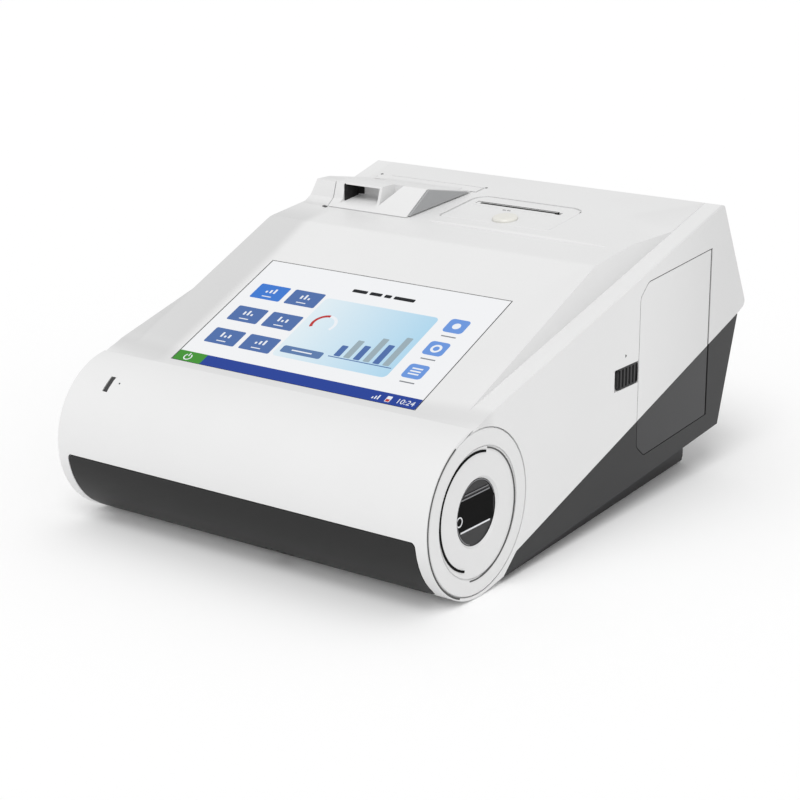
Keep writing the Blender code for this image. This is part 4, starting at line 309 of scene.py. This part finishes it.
def roll_place(x, angle):
    a = math.radians(angle)
    out = Vector((0, -math.cos(a), math.sin(a)))
    up = Vector((0, math.sin(a), math.cos(a)))
    place = Matrix((Vector((1, 0, 0)), up, out)).transposed().to_4x4()
    place.translation = Vector((x, ROLL_Y, ROLL_Z)) + out * ROLL_RADIUS
    return place


def side_place(y, z):
    """Local X to the rear, local Y up and local Z out of the right side."""
    return Matrix(((0, 0, 1, SIDE_X), (1, 0, 0, y), (0, 1, 0, z), (0, 0, 0, 1)))


def glass_place(u, v):
    """On the display: millimetres to the right of its middle and up from its lower edge."""
    return GLASS_PLACE @ Matrix.Translation((u / 1000, v / 1000, 0))


def piece(bm, name, place, finish, body, soft=0):
    """Turns a bmesh into a piece in its place, which rides on a body."""
    bmesh.ops.transform(bm, matrix=place, verts=bm.verts)
    bmesh.ops.recalc_face_normals(bm, faces=bm.faces)
    mesh = bpy.data.meshes.new(name)
    bm.to_mesh(mesh)
    bm.free()
    mesh.materials.append(finish)
    obj = bpy.data.objects.new(name, mesh)
    bpy.context.scene.collection.objects.link(obj)
    mesh.shade_smooth()
    mesh.set_sharp_from_angle(angle=SHARP_ANGLE)
    if soft:
        edge = obj.modifiers.new("broken_edges", "BEVEL")
        edge.width, edge.segments, edge.limit_method = soft, EDGE_SEGMENTS, "ANGLE"
    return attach(obj, body)


def tile(name, size, corner, low, high, place, finish, body="case", soft=0, parent_slot=None):
    """A thin plate with rounded corners, from low to high in its own place."""
    bm = bmesh.new()
    bmesh.ops.create_grid(bm, x_segments=1, y_segments=1, size=0.5)
    bmesh.ops.scale(bm, vec=(size[0], size[1], 1), verts=bm.verts)
    if corner:
        bmesh.ops.bevel(bm, geom=bm.verts[:], offset=corner, segments=CORNER_SEGMENTS, profile=0.5,
                        affect="VERTICES", material=-1)
    bmesh.ops.translate(bm, vec=(0, 0, low), verts=bm.verts)
    made = bmesh.ops.extrude_face_region(bm, geom=bm.faces[:])
    raised = [v for v in made["geom"] if isinstance(v, bmesh.types.BMVert)]
    bmesh.ops.translate(bm, vec=(0, 0, high - low), verts=raised)
    return piece(bm, name, place, finish, body, soft)


def disc(name, radius, low, high, place, finish, body="case", segments=24):
    """A low round plate, or a three-cornered one with 3 segments."""
    bm = bmesh.new()
    bmesh.ops.create_cone(bm, cap_ends=True, segments=segments, radius1=radius, radius2=radius,
                          depth=high - low)
    bmesh.ops.translate(bm, vec=(0, 0, (low + high) / 2), verts=bm.verts)
    return piece(bm, name, place, finish, body)


def band(name, inner, outer, low, high, place, finish, body="case", start=0, sweep=360, steps=48):
    """A flat ring, or an arc of one, spun round its own place."""
    bm = bmesh.new()
    bmesh.ops.create_grid(bm, x_segments=1, y_segments=1, size=0.5)
    bmesh.ops.scale(bm, vec=(outer - inner, high - low, 1), verts=bm.verts)
    middle = Matrix.Translation(((inner + outer) / 2, 0, (low + high) / 2))
    stand = middle @ Matrix.Rotation(math.pi / 2, 4, "X")
    begin = Matrix.Rotation(math.radians(start), 4, "Z")
    bmesh.ops.transform(bm, matrix=begin @ stand, verts=bm.verts)
    whole = sweep >= 360
    if whole:
        bmesh.ops.delete(bm, geom=bm.faces[:], context="FACES_ONLY")
    bmesh.ops.spin(bm, geom=bm.verts[:] + bm.edges[:] + bm.faces[:], axis=(0, 0, 1), cent=(0, 0, 0),
                   angle=math.radians(sweep), steps=steps, use_merge=whole)
    return piece(bm, name, place, finish, body)


def mound(name, size, place, finish, body="case"):
    """A low smooth swelling: a flattened ball half sunk in the surface."""
    bm = bmesh.new()
    bmesh.ops.create_uvsphere(bm, u_segments=48, v_segments=24, radius=1)
    bmesh.ops.scale(bm, vec=size, verts=bm.verts)
    return piece(bm, name, place, finish, body, 0)


def figures(name, text, size, low, high, place, finish, body="case"):
    """Plain digits as a mesh."""
    curve = bpy.data.curves.new(name, "FONT")
    curve.body, curve.size, curve.extrude = text, size, (high - low) / 2
    curve.align_x, curve.align_y = "CENTER", "CENTER"
    source = bpy.data.objects.new(name + "_source", curve)
    bpy.context.scene.collection.objects.link(source)
    bpy.context.view_layer.update()
    mesh = bpy.data.meshes.new_from_object(source.evaluated_get(bpy.context.evaluated_depsgraph_get()))
    bpy.data.objects.remove(source, do_unlink=True)
    bm = bmesh.new()
    bm.from_mesh(mesh)
    bpy.data.meshes.remove(mesh)
    bmesh.ops.translate(bm, vec=(0, 0, (low + high) / 2), verts=bm.verts)
    return piece(bm, name, place, finish, body)


def tone(code):
    """The linear colour of a six-figure screen colour."""
    parts = [int(code[i:i + 2], 16) / 255 for i in (0, 2, 4)]
    return tuple(p / 12.92 if p <= 0.04045 else ((p + 0.055) / 1.055) ** 2.4 for p in parts)


def lit(name, code, other=None, start=0.0, end=0.0):
    """A colour on the display: lit from behind, with fine pixel grain, fading across to another colour."""
    made, shader, nodes, links = new_finish(name)
    place = nodes.new("ShaderNodeTexCoord")
    split = nodes.new("ShaderNodeSeparateXYZ")
    links.new(place.outputs["Object"], split.inputs["Vector"])
    fade = nodes.new("ShaderNodeMapRange")
    fade.inputs["From Min"].default_value = start
    fade.inputs["From Max"].default_value = end or start + 1
    links.new(split.outputs["X"], fade.inputs["Value"])
    mix = nodes.new("ShaderNodeMix")
    mix.data_type = "RGBA"
    mix.inputs["A"].default_value = (*tone(code), 1)
    mix.inputs["B"].default_value = (*tone(other or code), 1)
    links.new(fade.outputs["Result"], mix.inputs["Factor"])
    grain = nodes.new("ShaderNodeTexNoise")
    grain.inputs["Scale"].default_value = PIXEL_SCALE
    links.new(place.outputs["Object"], grain.inputs["Vector"])
    gloss = nodes.new("ShaderNodeMapRange")
    gloss.inputs["To Min"].default_value, gloss.inputs["To Max"].default_value = DISPLAY_GLOSS
    links.new(grain.outputs["Fac"], gloss.inputs["Value"])
    links.new(gloss.outputs["Result"], shader.inputs["Roughness"])
    bump = nodes.new("ShaderNodeBump")
    bump.inputs["Strength"].default_value = PIXEL_STRENGTH
    bump.inputs["Distance"].default_value = PIXEL_DEPTH
    links.new(grain.outputs["Fac"], bump.inputs["Height"])
    links.new(bump.outputs["Normal"], shader.inputs["Normal"])
    dim = nodes.new("ShaderNodeMix")
    dim.data_type = "RGBA"
    dim.inputs["Factor"].default_value = DISPLAY_DIM
    dim.inputs["B"].default_value = (0, 0, 0, 1)
    links.new(mix.outputs["Result"], dim.inputs["A"])
    links.new(dim.outputs["Result"], shader.inputs["Base Color"])
    links.new(mix.outputs["Result"], shader.inputs["Emission Color"])
    shader.inputs["Emission Strength"].default_value = DISPLAY_GLOW
    shader.inputs["Specular IOR Level"].default_value = DISPLAY_SPECULAR
    return made


DISPLAY_DIM, DISPLAY_GLOW = 0.55, 0.46
DISPLAY_GLOSS, DISPLAY_SPECULAR = (0.26, 0.34), 0.08
PIXEL_SCALE, PIXEL_STRENGTH, PIXEL_DEPTH = 900, 0.1, 0.00001
HALF_IN_MM = 500

# Heights of the picture's layers against the glass, from the page up to the figures
LAYERS = [(-0.00014, -0.00012), (-0.000115, -0.000095), (-0.00009, -0.00007), (-0.000065, -0.000045)]


def add_display_picture():
    page = lit("page_white", "f7f8fa")
    blue, bright, pale = lit("tile_blue", "5272ae"), lit("tile_bright", "3f7cd6"), lit("icon_blue", "6f9be2")
    sky = lit("panel_sky", "e6f3f9", "b4dcf3", -0.026, 0.050)
    bar, green, slate = lit("bar_blue", "27449c"), lit("key_green", "459636"), lit("key_slate", "5f7fb0")
    mark, ink, red = lit("mark_white", "f2f6fb"), lit("ink_black", "202226"), lit("mark_red", "c23a3a")
    soft_grey, grey_ink = lit("chart_grey", "9fb2bb"), lit("ink_grey", "8a8d92")
    tile("display_page", (0.1574, 0.0925), 0, *LAYERS[0], glass_place(0, 46.75), page)
    tile("display_bar", (0.1574, 0.0080), 0.0006, *LAYERS[1], glass_place(0, 4.4), bar)
    tile("display_key_green", (0.0190, 0.0080), 0.0006, *LAYERS[2], glass_place(-69.2, 4.4), green)
    key = glass_place(-70.4, 4.0)
    band("power_mark_ring", 0.0019, 0.0026, *LAYERS[3], key, mark, start=125, sweep=290, steps=28)
    tile("power_mark_line", (0.0007, 0.0026), 0, *LAYERS[3], key @ Matrix.Translation((0, 0.0018, 0)), mark)
    for row, v in enumerate((66.2, 45.2, 24.7)):
        for column, u in enumerate((-60.8, -37.0)):
            label = f"{row}_{column}"
            tile(f"menu_tile_{label}", (0.0205, 0.0128), 0.0010, *LAYERS[1], glass_place(u, v),
                 bright if row + column == 0 else blue)
            for step in range(3):
                tall = 0.0016 + 0.0012 * ((row + column + step) % 3)
                tile(f"menu_mark_{label}_{step}", (0.0013, tall), 0.0003, *LAYERS[2],
                     glass_place(u - 2.6 + step * 2.6, v - 0.6 + tall * HALF_IN_MM), mark)
            tile(f"menu_line_{label}", (0.0062, 0.0007), 0, *LAYERS[2], glass_place(u, v - 3.8), mark)
    tile("picture_panel", (0.0736, 0.0520), 0.0030, *LAYERS[1], glass_place(12.0, 44.3), sky)
    for start, length in ((-14.0, 9.6), (-2.6, 7.8), (7.0, 4.4), (13.2, 13.3)):
        tile(f"heading_line_{start:.0f}", (length / 1000, 0.0026), 0.0006, *LAYERS[1],
             glass_place(start + length / 2, 79.9), ink)
    for step, tall in enumerate((9, 15, 12, 20, 16, 24)):
        place = glass_place(12 + step * 6.2, 27 + tall / 2)
        tile(f"chart_bar_{step}", (0.0040, tall / 1000), 0.0006, *LAYERS[2], place,
             soft_grey if step % 2 else blue)
    tile("chart_base", (0.0400, 0.0007), 0, *LAYERS[2], glass_place(27.5, 26), slate)
    dial = glass_place(-12, 49)
    band("dial_ring", 0.0060, 0.0078, *LAYERS[2], dial, mark, start=-30, sweep=240, steps=32)
    band("dial_value", 0.0060, 0.0078, *LAYERS[3], dial, red, start=90, sweep=120, steps=20)
    tile("panel_key", (0.0262, 0.0056), 0.0012, *LAYERS[2], glass_place(-8.9, 24.8), slate)
    tile("panel_key_line", (0.0130, 0.0009), 0, *LAYERS[3], glass_place(-8.9, 24.8), mark)
    for index, v in enumerate((66.3, 46.8, 27.3)):
        tile(f"side_icon_{index}", (0.0122, 0.0112), 0.0022, *LAYERS[1], glass_place(61.6, v), pale)
        tile(f"side_line_{index}", (0.0090, 0.0009), 0, *LAYERS[1], glass_place(62.2, v - 8.9), grey_ink)
    disc("side_mark_dot", 0.0024, *LAYERS[2], glass_place(61.6, 66.3), mark)
    band("side_mark_ring", 0.0018, 0.0032, *LAYERS[2], glass_place(61.6, 46.8), mark)
    for step in (-1, 0, 1):
        tile(f"side_mark_row_{step + 1}", (0.0064, 0.0010), 0, *LAYERS[2],
             glass_place(61.6, 27.3 + step * 2.2), mark)
    figures("clock_figures", "10:24", 0.0050, *LAYERS[2], glass_place(71.0, 3.9), mark)
    tile("charge_mark", (0.0030, 0.0044), 0.0004, *LAYERS[2], glass_place(60.7, 4.0), mark)
    tile("charge_level", (0.0022, 0.0018), 0, *LAYERS[3], glass_place(60.7, 3.0), red)
    for step in range(3):
        tall = 0.0014 + 0.0010 * step
        tile(f"signal_mark_{step}", (0.0008, tall), 0, *LAYERS[2],
             glass_place(51.6 + step * 1.6, 2.2 + tall * HALF_IN_MM), mark)


SLOT_X, SLOT_Y = 0.0152, 0.0767
SLOT_LENGTH, SLOT_WIDTH, SLOT_END = 0.0542, 0.0034, 0.0270


def add_small_marks():
    """Dots and marks on the case, the soft ridge across the shelf, the paper slot's lip, and a tear bar and black
    plates in the slot: painted shade that makes the slot dark.
    """
    dark, black, white = FINISHES["trim_black"], FINISHES["seam_black"], FINISHES["shell_white"]
    for index, x in enumerate((-0.0980, -0.0224)):
        disc(f"hinge_dot_{index}", 0.0008, -0.0002, 0.00012, shelf_place(x, 0.1020), dark, segments=16)
    disc("sensor_dot", 0.0005, -0.0002, 0.00008, roll_place(-0.0890, 53), dark, segments=12)
    above_latch = side_place(0.0227, 0.0900) @ Matrix.Rotation(math.radians(30), 4, "Z")
    disc("latch_mark", 0.0010, -0.0002, 0.0001, above_latch, dark, segments=3)
    tile("shoulder_gap", (0.0034, 0.0018), 0.0004, -0.0004, 0.0004, shelf_place(-0.0893, 0.0347, -20), dark)
    mound("shelf_ridge", (0.0575, 0.0026, 0.0012), shelf_place(0.0395, 0.0373), white)
    slot = shelf_place(SLOT_X, SLOT_Y)
    tile("paper_lip", (0.0540, 0.0026), 0.0006, -0.0002, 0.0004, slot @ Matrix.Translation((0, -0.0036, 0)), white,
         "printer_lid", 0.0002, "shell_white")
    # Tear bar, lining and ends in black: painted shade inside the paper slot
    tile("tear_bar_slot_shade", (SLOT_LENGTH, SLOT_WIDTH), 0, -0.0009, -0.0004, slot, black, "printer_lid")
    tile("slot_shade_lining", (SLOT_LENGTH, 0.0004), 0, -0.0020, 0.0001, slot @ Matrix.Translation((0, 0.0018, 0)),
         black, "printer_lid")
    for side in (-1, 1):
        end = slot @ Matrix.Translation((side * SLOT_END, 0, 0))
        tile(f"slot_end_shade_{side + 1}", (0.0004, SLOT_WIDTH), 0, -0.0020, 0, end, black, "printer_lid")
    for index, x in enumerate((-0.0040, -0.0010)):
        tile(f"paper_mark_{index}", (0.0022, 0.0010), 0.0002, -0.0001, 0.00008,
             slot @ Matrix.Translation((x, -0.0068, 0)), FINISHES["mark_grey"], "printer_lid")


def add_pocket_shade():
    """Black panels on the pocket's left wall, turning the corner onto its rear wall: painted shade for the
    shadowed inside of the pocket.
    """
    # Black panels: painted shade inside the pocket
    wall = Matrix(((0, 0, 1, -0.0811), (1, 0, 0, 0.0494), (0, 1, 0, 0.1505), (0, 0, 0, 1)))
    tile("pocket_shade_panel", (0.0136, 0.0100), 0.0010, -0.0001, 0.0003, wall, FINISHES["panel_dark"], "hood")
    rear = Matrix(((1, 0, 0, -0.0790), (0, 0, -1, 0.0563), (0, 1, 0, 0.1508), (0, 0, 0, 1)))
    tile("pocket_shade_panel_rear", (0.0042, 0.0086), 0.0018, -0.0001, 0.0003, rear, FINISHES["panel_dark"], "hood")


READER_LAYER = (0.00032, 0.0005)


def add_scanner_view():
    """What shows through the round window: a black block with bright edges, a ring and the window's rim."""
    window = side_place(ROLL_Y, ROLL_Z) @ Matrix.Translation((0, 0, -0.0020))
    black, light, grey = FINISHES["seam_black"], FINISHES["mark_light"], FINISHES["mark_grey"]
    block = window @ Matrix.Translation((0, 0.0008, 0))
    tile("reader_block", (0.0300, 0.0158), 0.0004, 0.00002, 0.0003, block, black)
    for name, size, across, up, finish in (("reader_edge_low", (0.0250, 0.0008), -0.0005, -0.0072, light),
                                           ("reader_edge_high", (0.0240, 0.0006), -0.0005, 0.0090, grey),
                                           ("reader_step_high", (0.0200, 0.0004), 0.0005, 0.0108, grey)):
        tile(name, size, 0, *READER_LAYER, window @ Matrix.Translation((across, up, 0)), finish)
    left = window @ Matrix.Translation((-0.0140, -0.0012, 0))
    band("reader_ring", 0.0020, 0.0026, *READER_LAYER, left, light)
    band("window_rim", 0.0160, 0.0164, 0.00032, 0.0006, window, grey, start=20, sweep=230, steps=60)


SEAM_DEPTH = (-0.0002, 0.0002)


def add_disc_seams():
    """Round each disc's raised middle, set off from its centre: a black arc of painted shadow in the seam's gap on
    the front side and a grey arc of painted shade at the raised rim's edge to the rear; and the seam round the
    disc's edge.
    """
    for side in (1, -1):
        face = side_place(0, 0)
        if side < 0:
            face = Matrix.Scale(-1, 4, (1, 0, 0)) @ face
        seam = "right" if side > 0 else "left"
        black, grey = FINISHES["seam_black"], FINISHES["seam_grey"]
        # Black arc: painted shadow in the seam's gap; grey arc: painted shade at the raised rim's edge
        for name, along, up, inner, outer, finish, start, sweep in (
                ("seam_shadow_front", -0.0029, 0.0015, 0.0288, 0.0300, black, 73, 179),
                ("rim_shade_rear", -0.0015, -0.0007, 0.0325, 0.0332, grey, -100, 175),
                ("edge_seam", 0, 0, 0.0419, 0.0427, grey, 118, 130)):
            place = face @ Matrix.Translation((ROLL_Y + along, ROLL_Z + up, 0))
            band(f"{seam}_disc_{name}", inner, outer, *SEAM_DEPTH, place, finish,
                 start=start, sweep=sweep, steps=60)


def door_outline_points(grow):
    """The door's outline in the side view, taken from its two panels and grown, as points round it."""
    spots = {(round(v.co.y, 5), round(v.co.z, 5)) for name in ("door_upper", "door_lower")
             for v in NODES[name].data.vertices if v.co.x > SIDE_X - 0.0002}

    def half(points):
        chain = []
        for p in points:
            while len(chain) > 1 and ((chain[-1][0] - chain[-2][0]) * (p[1] - chain[-2][1])
                                      <= (chain[-1][1] - chain[-2][1]) * (p[0] - chain[-2][0])):
                chain.pop()
            chain.append(p)
        return chain[:-1]

    ring = half(sorted(spots)) + half(sorted(spots, reverse=True))
    middle = (sum(p[0] for p in ring) / len(ring), sum(p[1] for p in ring) / len(ring))
    lower, upper = min(p[1] for p in ring), max(p[1] for p in ring)
    rear, front = max(p[0] for p in ring), min(p[0] for p in ring)
    wide, high = (rear - front) / 2, (upper - lower) / 2
    return [(middle[0] + (p[0] - middle[0]) * (1 + grow / wide),
             middle[1] + (p[1] - middle[1]) * (1 + grow / high)) for p in ring]


SEAL_REACH, SEAL_WIDTH = 0.00048, 0.00046
SEAL_DEPTH, SEAL_HEIGHT = 0.0010, 0.0008


def add_door_seal():
    """A thin dark seal in the gap round the side door."""
    bm = bmesh.new()
    face = bm.faces.new([bm.verts.new((y, z, 0)) for y, z in door_outline_points(SEAL_REACH)])
    bm.normal_update()
    bmesh.ops.inset_region(bm, faces=[face], thickness=SEAL_WIDTH, use_even_offset=True,
                           use_boundary=True)
    bmesh.ops.delete(bm, geom=[max(bm.faces, key=lambda f: f.calc_area())], context="FACES_ONLY")
    made = bmesh.ops.extrude_face_region(bm, geom=bm.faces[:])
    raised = [v for v in made["geom"] if isinstance(v, bmesh.types.BMVert)]
    bmesh.ops.translate(bm, vec=(0, 0, SEAL_HEIGHT), verts=raised)
    sunk = side_place(0, 0) @ Matrix.Translation((0, 0, -SEAL_DEPTH))
    piece(bm, "door_seal", sunk, FINISHES["seam_black"], "case")


BODY_OF = {node: body for body, members in frame["record"]["behaviour"]["bodies"].items() for node in members}
SLOT_OF = {part["node"]: part["material_slot"] for part in frame["record"]["subparts"]}

for node, obj in NODES.items():
    own_finish(obj, SLOT_OF[node])

SOFT_EDGES = {"upper_shell": 0.0008, "base_shell": 0.0005, "hood_cover": 0.0005, "printer_cover": 0.0004,
              "door_upper": 0.0004, "door_lower": 0.0004, "front_panel": 0.0004, "right_disc_cap": 0.0003,
              "left_disc_cap": 0.0003, "latch_slider": 0.0003, "hood_side_plate": 0.0002, "socket_panel": 0.0003}
for node, width in SOFT_EDGES.items():
    soft = softened(node, width, BODY_OF[node])
    own_finish(soft, SLOT_OF[node])

add_display_picture()
add_small_marks()
add_pocket_shade()
add_scanner_view()
add_disc_seams()
add_door_seal()
add_camera()
add_studio()
bpy.context.scene.view_settings.view_transform = "Standard"
